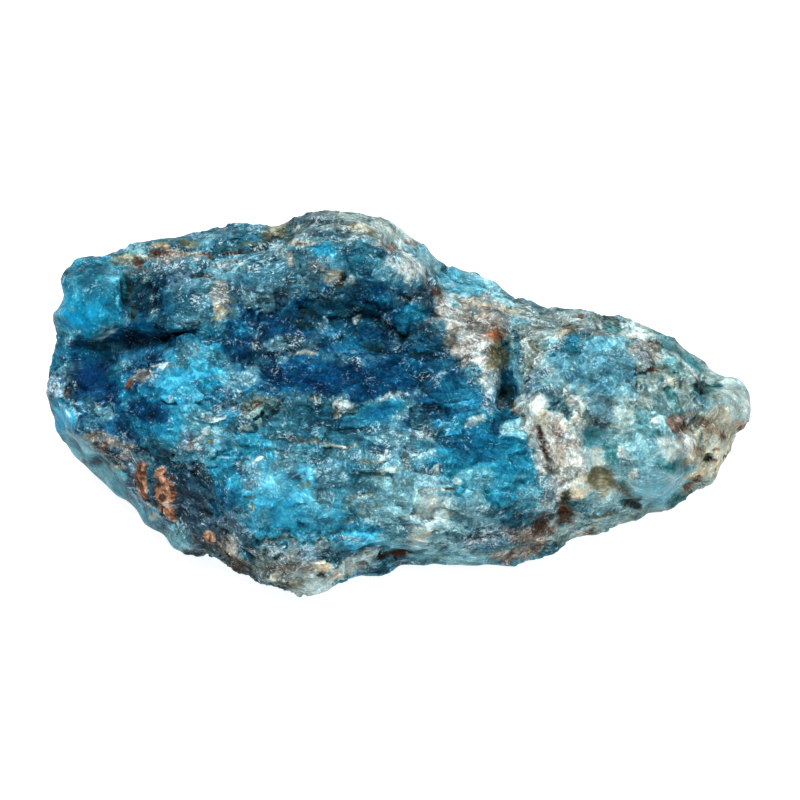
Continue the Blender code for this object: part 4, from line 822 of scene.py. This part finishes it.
@dataclass
class Relief:
    """The broken surface: facets, ledges along the grain, crumbs and single marks.

    Pairs are the size of a pattern and how strong it is, in millimetres.
    """

    facets: tuple[Pair, ...] = ((3.2, 0.48), (1.5, 0.4), (0.75, 0.28))
    facet_stretch: float = 2.1
    grain_slope: float = -6.0
    ledges: Pair = (1.25, 0.16)
    ledge_stretch: float = 3.0
    ledge_rise: float = 0.7
    ledge_fall: float = 0.3
    ledge_waver: Pair = (3.0, 1.1)
    ledge_chips: Pair = (0.8, 0.35)
    patchiness: float = 4.0
    crumbs: Pair = (0.9, 0.14)
    fine_crumbs: float = 0.6
    calming: float = 0.85
    mark_reach: float = 1.3
    mark_slope: float = 0.8
    face_depth: float = -9.0

    def along_grain(self, points: np.ndarray, stretch: float) -> np.ndarray:
        """Points with the grain's direction shortened, so that patterns draw out along it.

        Args:
            points: Rows of u, v, w.
            stretch: How many times longer than wide a pattern becomes.

        Returns:
            Rows of the changed u, v, w.
        """
        along, across = turned(points, self.grain_slope)
        return np.column_stack((along / stretch, across, points[:, 2]))

    def shelves(self, points: np.ndarray) -> np.ndarray:
        """Overlapping ledges that run along the grain, each with a steep lower edge.

        Args:
            points: Rows of u, v, w.

        Returns:
            One height from -0.5 to 0.5 for each point.
        """
        drawn = self.along_grain(points, self.ledge_stretch)
        size, reach = self.ledge_waver
        chip_size, chip_reach = self.ledge_chips
        phase = drawn[:, 1] / self.ledges[0]
        phase += (reach * Fracture.rough(drawn, size, Draw.LEDGE_WAVER)
                  + chip_reach * Fracture.lumps(drawn, chip_size, Draw.LEDGE_CHIP))
        share = phase - np.floor(phase)
        rise, fall = self.ledge_rise, self.ledge_fall
        return np.where(share < rise, share / rise, (1.0 - share) / fall) - 0.5

    def heights(self, points: np.ndarray, finish: np.ndarray) -> np.ndarray:
        """How far the surface moves along its normal.

        Args:
            points: Rows of u, v, w.
            finish: Rows of finish numbers, which say how broken each mineral is.

        Returns:
            One distance in millimetres for each point.
        """
        facets, grain, crumbs = finish[:, 6:9].T * (1.0 - self.calming * self.calm(points))
        total = np.zeros(len(points))
        drawn = self.along_grain(points, self.facet_stretch)
        for layer, (size, depth) in enumerate(self.facets):
            places = points + (drawn - points) * grain[:, None]
            total += depth * facets * Fracture.facets(places, size, Draw.FACET + 10 * layer)
        patchy = 0.5 + 0.5 * Fracture.lumps(points, self.patchiness, Draw.PATCHINESS)
        total += self.ledges[1] * grain * patchy * self.shelves(points)
        size, depth = self.crumbs
        lumps = np.abs(Fracture.lumps(points, size, Draw.CRUMB))
        lumps += self.fine_crumbs * np.abs(Fracture.lumps(points, size * 0.5, Draw.FINE_CRUMB))
        total += depth * crumbs * (lumps - 0.5)
        return total + self.spots(points, MARKS)

    def calm(self, points: np.ndarray) -> np.ndarray:
        """How glassy the break is at each point, from 0 to 1."""
        return np.clip(self.spots(points, GLASSY_SPOTS), 0.0, 1.0)

    def spots(self, points: np.ndarray, placed: tuple[Mark, ...]) -> np.ndarray:
        """Single spots, added up.

        Args:
            points: Rows of u, v, w.
            placed: The spots.

        Returns:
            The height of the spots at each point.
        """
        total = np.zeros(len(points))
        for mark in placed:
            along, across = turned(points[:, :2] - (mark.u, mark.v), mark.turn)
            reach = np.hypot(along / mark.half_u, across / mark.half_v)
            total += mark.height * smoothed((self.mark_reach - reach) / self.mark_slope)
        return total * (points[:, 2] > self.face_depth)


class Recipe:
    """A material's nodes, added and joined one after another."""

    def __init__(self, name: str) -> None:
        """Start a material with only its shader."""
        self.material = bpy.data.materials.new(name)
        self.material.use_nodes = True
        self.nodes = self.material.node_tree.nodes
        self.links = self.material.node_tree.links
        self.shader = self.nodes["Principled BSDF"]

    def fill(self, socket: bpy.types.NodeSocket, value: object) -> None:
        """Give a socket a value, or join another socket to it."""
        if isinstance(value, bpy.types.NodeSocket):
            self.links.new(value, socket)
        else:
            socket.default_value = value

    def shade(self, inputs: dict[str, object]) -> None:
        """Fill the shader's sockets, by name."""
        for name, value in inputs.items():
            self.fill(self.shader.inputs[name], value)

    def add(self, kind: str, inputs: dict, **settings: object) -> bpy.types.Node:
        """Add a node.

        Args:
            kind: The node's type, without its usual beginning.
            inputs: What goes into its sockets, by name or number.
            settings: Its other settings.

        Returns:
            The node.
        """
        node = self.nodes.new("ShaderNode" + kind)
        for name, value in settings.items():
            setattr(node, name, value)
        for key, value in inputs.items():
            self.fill(node.inputs[key], value)
        return node

    def sum(self, operation: str, first: object, second: object) -> bpy.types.NodeSocket:
        """One sum of two numbers.

        Args:
            operation: Which sum.
            first: The first number or socket.
            second: The second number or socket.

        Returns:
            The socket with the result.
        """
        return self.add("Math", {0: first, 1: second}, operation=operation).outputs[0]

    def total(self, parts: Sequence, weights: Sequence[float],
              middle: float = 0.0) -> bpy.types.NodeSocket:
        """Numbers added up, each with its own weight.

        Args:
            parts: The sockets with the numbers.
            weights: The weight of each.
            middle: What is first taken from each number.

        Returns:
            The socket with the result.
        """
        if middle:
            parts = [self.sum("SUBTRACT", part, middle) for part in parts]
        shares = [self.sum("MULTIPLY", part, weight) for part, weight in zip(parts, weights)]
        return reduce(lambda first, second: self.sum("ADD", first, second), shares)

    def vector(self, operation: str, first: object, second: object) -> bpy.types.NodeSocket:
        """One sum of two vectors.

        Args:
            operation: Which sum.
            first: The first vector or socket.
            second: The second vector or socket.

        Returns:
            The socket with the result.
        """
        node = self.add("VectorMath", {0: first, 1: second}, operation=operation)
        return node.outputs["Value" if operation == "DOT_PRODUCT" else "Vector"]

    def scaled(self, colour: object, share: object) -> bpy.types.NodeSocket:
        """A colour made brighter or darker by a share."""
        return self.add("VectorMath", {0: colour, "Scale": share}, operation="SCALE").outputs[0]

    def ramp(self, value: object, low: float, high: float, start: float = 0.0,
             end: float = 1.0) -> bpy.types.NodeSocket:
        """Stretch a span of values to another, and hold it at both ends.

        Args:
            value: The socket that is read.
            low: Where the span starts.
            high: Where the span ends.
            start: What the start becomes.
            end: What the end becomes.

        Returns:
            The socket with the result.
        """
        inputs = {0: value, 1: low, 2: high, 3: start, 4: end}
        return self.add("MapRange", inputs, clamp=True).outputs[0]

    def noise(self, place: object, scale: float, detail: float, rough: float) -> bpy.types.Node:
        """Cloudy noise.

        Args:
            place: Where it is read.
            scale: Lumps to the millimetre.
            detail: How many finer layers.
            rough: How strong the finer layers are.

        Returns:
            The noise node.
        """
        inputs = {"Vector": place, "Scale": scale, "Detail": detail, "Roughness": rough}
        return self.add("TexNoise", inputs)

    def cells(self, place: object, scale: float) -> bpy.types.Node:
        """Angular cells.

        Args:
            place: Where they are read.
            scale: Cells to the millimetre.

        Returns:
            The cells node.
        """
        return self.add("TexVoronoi", {"Vector": place, "Scale": scale})

    def blend(self, share: object, first: object, second: object,
              kind: str = "MIX") -> bpy.types.NodeSocket:
        """Mix two colours.

        Args:
            share: How much of the second there is.
            first: The colour below.
            second: The colour laid over it.
            kind: How it is laid over.

        Returns:
            The socket with the colour.
        """
        node = self.nodes.new("ShaderNodeMix")
        node.data_type, node.blend_type, node.clamp_factor = "RGBA", kind, True
        for key, value in ((0, share), (6, first), (7, second)):
            self.fill(node.inputs[key], value)
        return node.outputs[2]

    def attribute(self, name: str, output: str = "Fac") -> bpy.types.NodeSocket:
        """Read one of the stone's own attributes."""
        return self.add("Attribute", {}, attribute_name=name).outputs[output]


@dataclass(frozen=True)
class Flecks:
    """Where a pattern turns white: as white cracks and icy patches in the mineral, and as painted
    glints.
    """

    level: float
    lowered: float
    edge: float
    strength: float

    def share(self, recipe: Recipe, pattern: object, frosted: object) -> bpy.types.NodeSocket:
        """How white each place is.

        Args:
            recipe: The material's nodes.
            pattern: The socket with the pattern, about 0.5 on average.
            frosted: The socket that says how far frost lowers the level.

        Returns:
            The socket with the share of white.
        """
        level = recipe.sum("SUBTRACT", self.level, recipe.sum("MULTIPLY", frosted, self.lowered))
        return recipe.ramp(recipe.sum("SUBTRACT", pattern, level), 0.0, self.edge, 0.0, self.strength)


@dataclass(frozen=True)
class StoneFinish:
    """Clear and frosted apatite: clouded grains, each brushed its own way, with white flecks that are
    partly white cracks and partly painted glints.

    A noise is its scale, its layers and how strong they are. A ramp is a span of values and what
    its ends become. Strokes are their length and width in millimetres.
    """

    jag: Triple = (2.2, 3.0, 0.6)
    jag_reach: float = 0.6
    cell_stretch: Triple = (0.75, 1.1, 1.1)
    cell_scales: Pair = (0.7, 1.5)
    strokes: tuple[Pair, ...] = ((1.1, 0.13), (0.8, 0.09))
    stroke_noise: Triple = (0.6, 2.0, 0.6)
    stroke_turns: float = 12.0
    cloud: Triple = (0.6, 2.0, 0.55)
    grain: Triple = (2.2, 4.0, 0.75)
    swing_weights: tuple[float, ...] = (1.0, 1.4, 1.3, 1.1, 0.7, 0.4)
    calm: float = 0.7
    unrest: float = 2.0
    tint: Triple = (1.3, 3.0, 0.65)
    tint_ramp: Pair = (0.36, 0.64)
    cool_tint: Four = (0.86, 1.0, 1.06, 1.0)
    warm_tint: Four = (1.14, 1.0, 0.9, 1.0)
    deepening: float = -0.32
    brightening: float = 0.55
    cluster: Triple = (0.8, 3.0, 0.6)
    cluster_ramp: Four = (0.4, 0.6, 0.1, 1.5)
    flecks_and_glints: Flecks = Flecks(0.735, 0.16, 0.1, 0.85)
    ice: Flecks = Flecks(0.59, 0.095, 0.12, 0.75)
    fleck_colour: Four = (0.56, 0.65, 0.68, 1.0)
    fleck_ramp: Four = (0.15, 0.9, 0.03, 0.9)
    fleck_lift: float = 2.2
    bump_depths: tuple[float, ...] = (0.3, 0.1, 0.08, 0.16, 0.2)
    bump_strength: float = 0.6
    roughest: float = 0.65
    polish: float = 0.5
    rough_spread: float = 0.25
    refraction: float = 1.63
    sheen: float = 0.02
    glow_share: float = 0.35
    glow_reach: Triple = (0.3, 0.7, 1.0)

    def material(self) -> bpy.types.Material:
        """The finish of the whole stone.

        Returns:
            The material, which reads Object coordinates and the stone's attributes.
        """
        recipe = Recipe("rough_blue_apatite")
        frost, gloss, glow = (recipe.attribute(name) for name in ("frost", "gloss", "glow"))
        place = recipe.add("TexCoord", {}).outputs["Object"]
        place = recipe.vector("MULTIPLY", place, (1 / MM, 1 / MM, 1 / MM))
        jagged = self.jagged(recipe, place)
        cells = [recipe.cells(jagged, scale) for scale in self.cell_scales]
        shades = [self.cell_shade(recipe, cell) for cell in cells]
        strokes = [self.brushed(recipe, place, *pair) for pair in zip(cells, self.strokes)]
        tilts = [self.tilt(recipe, jagged, cell) for cell in cells]
        cloud = recipe.noise(place, *self.cloud).outputs["Fac"]
        grain = recipe.noise(place, *self.grain).outputs["Fac"]

        swing = recipe.total((cloud, grain, *strokes, *shades), self.swing_weights, MIDDLE)
        unrest = recipe.sum("ADD", self.calm, recipe.sum("MULTIPLY", frost, self.unrest))
        toned = self.toned(recipe, place, recipe.sum("MULTIPLY", swing, unrest))
        height = recipe.total((grain, *strokes, *tilts), self.bump_depths)
        bump = {"Strength": self.bump_strength, "Distance": MM, "Height": height}
        rough = recipe.sum("SUBTRACT", self.roughest, recipe.sum("MULTIPLY", gloss, self.polish))
        spread = recipe.total(shades[1:], (self.rough_spread,), MIDDLE)
        recipe.shade({
            "Base Color": self.flecked_and_glinting(recipe, place, toned, frost, strokes, grain),
            "Roughness": recipe.sum("ADD", rough, spread),
            "IOR": self.refraction,
            "Specular IOR Level": self.sheen,
            "Normal": recipe.add("Bump", bump).outputs[0],
            "Subsurface Weight": recipe.sum("MULTIPLY", glow, self.glow_share),
            "Subsurface Radius": self.glow_reach,
            "Subsurface Scale": MM,
        })
        return recipe.material

    def jagged(self, recipe: Recipe, place: object) -> bpy.types.NodeSocket:
        """Places pushed about, so that cells read there are jagged, and longer along the stone.

        Args:
            recipe: The material's nodes.
            place: The socket with the place in millimetres.

        Returns:
            The socket with the changed place.
        """
        push = recipe.noise(place, *self.jag).outputs["Color"]
        push = recipe.vector("SUBTRACT", push, (MIDDLE, MIDDLE, MIDDLE))
        push = recipe.scaled(push, self.jag_reach)
        return recipe.vector("MULTIPLY", recipe.vector("ADD", place, push), self.cell_stretch)

    def toned(self, recipe: Recipe, place: object, swing: object) -> bpy.types.NodeSocket:
        """The minerals' colour, tinted and made deeper or brighter.

        Args:
            recipe: The material's nodes.
            place: The socket with the place in millimetres.
            swing: The socket that says how bright each place is, 0 on average.

        Returns:
            The socket with the colour.
        """
        tint = recipe.ramp(recipe.noise(place, *self.tint).outputs["Fac"], *self.tint_ramp)
        tint = recipe.blend(tint, self.cool_tint, self.warm_tint)
        colour = recipe.blend(1.0, recipe.attribute("mineral_colour", "Color"), tint, "MULTIPLY")
        depth = recipe.sum("POWER", 2.0, recipe.sum("MULTIPLY", swing, self.deepening))
        colour = recipe.add("Gamma", {"Color": colour, "Gamma": depth}).outputs[0]
        light = recipe.sum("POWER", 2.0, recipe.sum("MULTIPLY", swing, self.brightening))
        return recipe.scaled(colour, light)

    def flecked_and_glinting(self, recipe: Recipe, place: object, toned: object, frost: object,
                strokes: list, grain: object) -> bpy.types.NodeSocket:
        """The colour with white flecks and icy patches on it; the flecks are partly white cracks in the
        mineral and partly painted glints.

        Args:
            recipe: The material's nodes.
            place: The socket with the place in millimetres.
            toned: The socket with the colour.
            frost: The socket that says how frosted each place is.
            strokes: The sockets with the broad and the small strokes.
            grain: The socket with the fine grain.

        Returns:
            The socket with the colour.
        """
        cluster = recipe.noise(place, *self.cluster).outputs["Fac"]
        frosted = recipe.sum("MULTIPLY", frost, recipe.ramp(cluster, *self.cluster_ramp))
        mixed = recipe.sum("ADD", recipe.sum("ADD", *strokes), grain)
        mixed = recipe.sum("MULTIPLY", mixed, 1 / 3)
        flecks_and_glints = recipe.sum("MAXIMUM", self.flecks_and_glints.share(recipe, strokes[1], frosted),
                            self.ice.share(recipe, mixed, frosted))
        pale = recipe.blend(recipe.ramp(frosted, *self.fleck_ramp),
                            recipe.scaled(toned, self.fleck_lift), self.fleck_colour)
        return recipe.blend(flecks_and_glints, toned, pale)

    @staticmethod
    def cell_shade(recipe: Recipe, cells: bpy.types.Node) -> bpy.types.NodeSocket:
        """A number from 0 to 1 for each cell."""
        return recipe.add("SeparateColor", {0: cells.outputs["Color"]}).outputs[0]

    def brushed(self, recipe: Recipe, place: object, cells: bpy.types.Node,
                size: Pair) -> bpy.types.NodeSocket:
        """Fine strokes that run another way in each cell.

        Args:
            recipe: The material's nodes.
            place: Where the strokes are read, in millimetres.
            cells: The cells node.
            size: Length and width of a stroke, in millimetres.

        Returns:
            The socket with the strokes' strength, about 0.5 on average.
        """
        axis = recipe.vector("SUBTRACT", cells.outputs["Color"], (MIDDLE, MIDDLE, MIDDLE))
        angle = recipe.sum("MULTIPLY", self.cell_shade(recipe, cells), self.stroke_turns)
        turning = recipe.add("VectorRotate", {"Vector": place, "Axis": axis, "Angle": angle},
                             rotation_type="AXIS_ANGLE").outputs[0]
        length, width = size
        drawn = recipe.vector("MULTIPLY", turning, (1.0 / length, 1.0 / width, 1.0 / width))
        return recipe.noise(drawn, *self.stroke_noise).outputs["Fac"]

    @staticmethod
    def tilt(recipe: Recipe, place: object, cells: bpy.types.Node) -> bpy.types.NodeSocket:
        """A small flat face in each cell, tilted its own way.

        Args:
            recipe: The material's nodes.
            place: Where the cells are read.
            cells: The cells node.

        Returns:
            The socket with the face's height, in millimetres.
        """
        away = recipe.vector("SUBTRACT", place, cells.outputs["Position"])
        slope = recipe.vector("SUBTRACT", cells.outputs["Color"], (MIDDLE, MIDDLE, MIDDLE))
        return recipe.vector("DOT_PRODUCT", away, slope)


@dataclass
class Stone:
    """The apatite: one lump, rested on the small flat of its underside.

    A hollow's painted shade is set by how many rounds its surroundings are evened out, its full depth in
    millimetres, and how much painted shade it lays on the stone's colour.
    """

    node: str = "apatite"
    name: str = "rough_apatite"
    merge_distance: float = 0.001 * MM
    voxel: float = 0.165 * MM
    triangles: int = 194000
    smoothing: float = 0.5
    even_rounds: int = 2
    calm_rounds: int = 18
    calm_steps: int = 10
    sharp_angle: float = radians(38.0)
    # painted shade: each hollow darkens the stone's colour where the surface lies low
    hollow_shades: tuple[tuple[int, float, float], ...] = ((3, 0.06, 0.3), (24, 0.25, 0.2))
    evening: float = 0.6
    # painted highlight on raised edges: the height at which it is full, how strong it is, and how much
    # it frosts the edge
    edge_height: float = 0.05
    edge_highlight_strength: float = 0.25
    edge_frost: float = 0.4
    calm_clearness: float = 0.4
    calm_polish: float = 0.2
    face: FaceFrame = field(default_factory=FaceFrame)
    painter: Painter = field(default_factory=Painter)
    relief: Relief = field(default_factory=Relief)
    finish: StoneFinish = field(default_factory=StoneFinish)
    piece: bpy.types.Object = field(init=False)

    def build(self) -> bpy.types.Object:
        """Shape and dress the stone.

        Returns:
            The finished piece.
        """
        self.piece = self.merged_copy()
        self.apply("REMESH", mode="VOXEL", voxel_size=self.voxel)
        self.break_surface()
        self.apply("SMOOTH", factor=self.smoothing, iterations=self.even_rounds)
        self.apply("SMOOTH", factor=self.smoothing, iterations=self.calm_rounds,
                   vertex_group=self.group_calm())
        self.piece.vertex_groups.clear()
        ratio = self.triangles / (2.0 * len(self.piece.data.polygons))
        self.apply("DECIMATE", ratio=min(1.0, ratio), use_collapse_triangulate=True)
        self.paint()
        self.piece.data.materials.clear()
        self.piece.data.materials.append(self.finish.material())
        self.select_only(self.piece)
        bpy.ops.object.shade_smooth_by_angle(angle=self.sharp_angle)
        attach(self.piece, "root")
        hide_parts(self.node)
        return self.piece

    @staticmethod
    def select_only(piece: bpy.types.Object) -> None:
        """Make a piece the only one selected."""
        bpy.ops.object.select_all(action="DESELECT")
        piece.select_set(True)
        bpy.context.view_layer.objects.active = piece

    def merged_copy(self) -> bpy.types.Object:
        """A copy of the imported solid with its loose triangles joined.

        Returns:
            The copy.
        """
        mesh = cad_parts[self.node].data.copy()
        piece = bpy.data.objects.new(self.name, mesh)
        bpy.context.scene.collection.objects.link(piece)
        self.select_only(piece)
        bpy.ops.object.mode_set(mode="EDIT")
        bpy.ops.mesh.select_all(action="SELECT")
        bpy.ops.mesh.remove_doubles(threshold=self.merge_distance)
        bpy.ops.object.mode_set(mode="OBJECT")
        return piece

    def apply(self, kind: str, **settings: object) -> None:
        """Add a modifier to the stone and apply it.

        Args:
            kind: The modifier's type.
            settings: Its settings.
        """
        self.select_only(self.piece)
        modifier = self.piece.modifiers.new(kind.lower(), kind)
        for name, value in settings.items():
            setattr(modifier, name, value)
        bpy.ops.object.modifier_apply(modifier=modifier.name)

    def read(self) -> tuple[np.ndarray, np.ndarray]:
        """The mesh's points in metres, and their normals.

        Returns:
            Rows of positions and rows of normals.
        """
        mesh = self.piece.data
        points = np.empty(len(mesh.vertices) * 3, np.float32)
        normals = np.empty(len(mesh.vertices) * 3, np.float32)
        mesh.vertices.foreach_get("co", points)
        mesh.vertex_normals.foreach_get("vector", normals)
        return points.reshape(-1, 3).astype(float), normals.reshape(-1, 3).astype(float)

    def break_surface(self) -> None:
        """Move the surface along its normals by the relief."""
        points, normals = self.read()
        placed = self.face.to_face(points)
        finish = self.painter.finish_at(placed, self.face.facing(normals))
        moved = points + normals * (self.relief.heights(placed, finish) * MM)[:, None]
        moved[:, 2] = np.maximum(moved[:, 2], 0.0)
        self.piece.data.vertices.foreach_set("co", moved.astype(np.float32).ravel())
        self.piece.data.update()

    def group_calm(self) -> str:
        """Group the points of the glassy spots.

        Returns:
            The group's name.
        """
        group = self.piece.vertex_groups.new(name="calm")
        shares = self.relief.calm(self.face.to_face(self.read()[0]))
        for step in range(1, self.calm_steps + 1):
            chosen = np.flatnonzero(np.round(shares * self.calm_steps) == step)
            group.add(chosen.tolist(), step / self.calm_steps, "REPLACE")
        return group.name

    def hollowness(self, points: np.ndarray, normals: np.ndarray, rounds: int) -> np.ndarray:
        """How far each point lies below its surroundings.

        Args:
            points: Rows of positions.
            normals: Rows of normals.
            rounds: How many times the surroundings are evened out, so how wide they are.

        Returns:
            One distance in millimetres for each point, above 0 in a hollow.
        """
        mesh = self.piece.data
        edges = np.empty(len(mesh.edges) * 2, np.int32)
        mesh.edges.foreach_get("vertices", edges)
        first, second = edges.reshape(-1, 2).T
        count = np.bincount(edges, minlength=len(points))[:, None]
        even = points.copy()
        for _ in range(rounds):
            total = np.empty_like(even)
            for axis in range(3):
                total[:, axis] = np.bincount(first, even[second, axis], len(points))
                total[:, axis] += np.bincount(second, even[first, axis], len(points))
            even = (1.0 - self.evening) * even + self.evening * total / count
        return np.einsum("ij,ij->i", even - points, normals) / MM

    def paint(self) -> None:
        """Store the minerals' colour and finish on the mesh, with painted shade in hollows and a painted
        highlight on raised edges.
        """
        points, normals = self.read()
        placed = self.face.to_face(points)
        finish = self.painter.finish_at(placed, self.face.facing(normals))
        sunk = [self.hollowness(points, normals, rounds) for rounds, *_ in self.hollow_shades]
        # painted shade: the colour is darkened where the surface lies below its surroundings
        shade = np.ones(len(points))
        for below, (_, depth, dark) in zip(sunk, self.hollow_shades):
            shade -= dark * smoothed(below / depth)
        # painted highlight: raised edges are made lighter, and more frosted
        edge_highlight = self.edge_highlight_strength * smoothed(-sunk[0] / self.edge_height)
        colour = screen_to_light(finish[:, :3]) / LIGHT_LEVEL * (shade + edge_highlight)[:, None]
        calm = self.relief.calm(placed)
        frost = np.clip(finish[:, 3] + self.edge_frost * edge_highlight, 0.0, 1.0)
        self.store_colour("mineral_colour", colour)
        self.store("frost", frost * (1.0 - self.calm_clearness * calm))
        self.store("gloss", np.clip(finish[:, 4] + self.calm_polish * calm, 0.0, 1.0))
        self.store("glow", finish[:, 5])

    def store(self, name: str, numbers: np.ndarray) -> None:
        """Keep one number for each point of the mesh."""
        layer = self.piece.data.attributes.new(name, "FLOAT", "POINT")
        layer.data.foreach_set("value", numbers.astype(np.float32))

    def store_colour(self, name: str, colours: np.ndarray) -> None:
        """Keep one colour for each point of the mesh."""
        layer = self.piece.data.attributes.new(name, "FLOAT_COLOR", "POINT")
        rows = np.column_stack((np.clip(colours, 0.0, 1.0), np.ones(len(colours))))
        layer.data.foreach_set("color", rows.astype(np.float32).ravel())


@dataclass(frozen=True)
class Softbox:
    """A square lamp that points at the stone.

    Its place is right, up and towards the camera in millimetres, its power in watts, and its
    side in metres.
    """

    name: str
    place: Triple
    power: float
    side: float

    def hang(self, face: FaceFrame) -> None:
        """Hang the lamp.

        Args:
            face: The directions of the stone's broad face.
        """
        data = bpy.data.lights.new(self.name, "AREA")
        data.energy, data.size = self.power, self.side
        lamp = bpy.data.objects.new(self.name, data)
        bpy.context.scene.collection.objects.link(lamp)
        lamp.location = face.to_row(*self.place)
        aim = face.to_row(0.0, 0.0, 0.0) - lamp.location
        lamp.rotation_euler = aim.to_track_quat("-Z", "Y").to_euler()


@dataclass
class Studio:
    """A pale lit table, soft lights, and the camera at the photograph's angle."""

    face: FaceFrame
    distance: float = 0.6
    width: float = 0.0674
    elevation: float = radians(50.0)
    nearest: float = 0.01
    table_size: float = 6.0
    table_grey: float = 0.3
    table_rough: float = 0.9
    table_glow: float = 0.92
    sky_level: float = 0.25
    lamps: tuple[Softbox, ...] = (Softbox("key", (-120.0, 255.0, 305.0), 2.7, 0.12),
                                  Softbox("fill", (260.0, 60.0, 300.0), 0.5, 0.3))

    def build(self) -> None:
        """Set the table, the lights and the camera."""
        self.table()
        self.sky()
        for lamp in self.lamps:
            lamp.hang(self.face)
        self.camera()
        bpy.context.scene.view_settings.view_transform = "Standard"

    def table(self) -> None:
        """The table, which glows a little, as a light table does."""
        bpy.ops.object.select_all(action="DESELECT")
        bpy.ops.mesh.primitive_plane_add(size=self.table_size, location=(0.0, 0.0, 0.0))
        floor = bpy.context.object
        floor.name = "studio_table"
        recipe = Recipe("pale_table")
        recipe.shade({
            "Base Color": (self.table_grey, self.table_grey, self.table_grey, 1.0),
            "Roughness": self.table_rough,
            "Emission Color": (1.0, 1.0, 1.0, 1.0),
            "Emission Strength": self.table_glow,
        })
        floor.data.materials.append(recipe.material)

    def sky(self) -> None:
        """Even white light from all round."""
        world = bpy.data.worlds.new("soft_surround")
        world.use_nodes = True
        backdrop = world.node_tree.nodes["Background"]
        backdrop.inputs["Color"].default_value = (1.0, 1.0, 1.0, 1.0)
        backdrop.inputs["Strength"].default_value = self.sky_level
        bpy.context.scene.world = world

    def camera(self) -> None:
        """Look straight at the broad face."""
        data = bpy.data.cameras.new("camera")
        data.lens = data.sensor_width * self.distance / self.width
        data.clip_start = self.nearest
        viewer = bpy.data.objects.new("camera", data)
        bpy.context.scene.collection.objects.link(viewer)
        back = Vector((0.0, -cos(self.elevation), sin(self.elevation)))
        right = Vector((1.0, 0.0, 0.0))
        turn = Matrix((right, back.cross(right), back)).transposed().to_4x4()
        place = self.face.to_row(0.0, 0.0, 0.0) + back * self.distance
        viewer.matrix_world = Matrix.Translation(place) @ turn
        bpy.context.scene.camera = viewer


def main() -> None:
    """Build the stone and the studio."""
    logging.basicConfig(level=logging.INFO, format="%(message)s")
    stone = Stone()
    piece = stone.build()
    log.info("%s: %d faces", piece.name, len(piece.data.polygons))
    Studio(stone.face).build()
    log.info("studio: table, lights and camera")


if __name__ == "__main__":
    main()
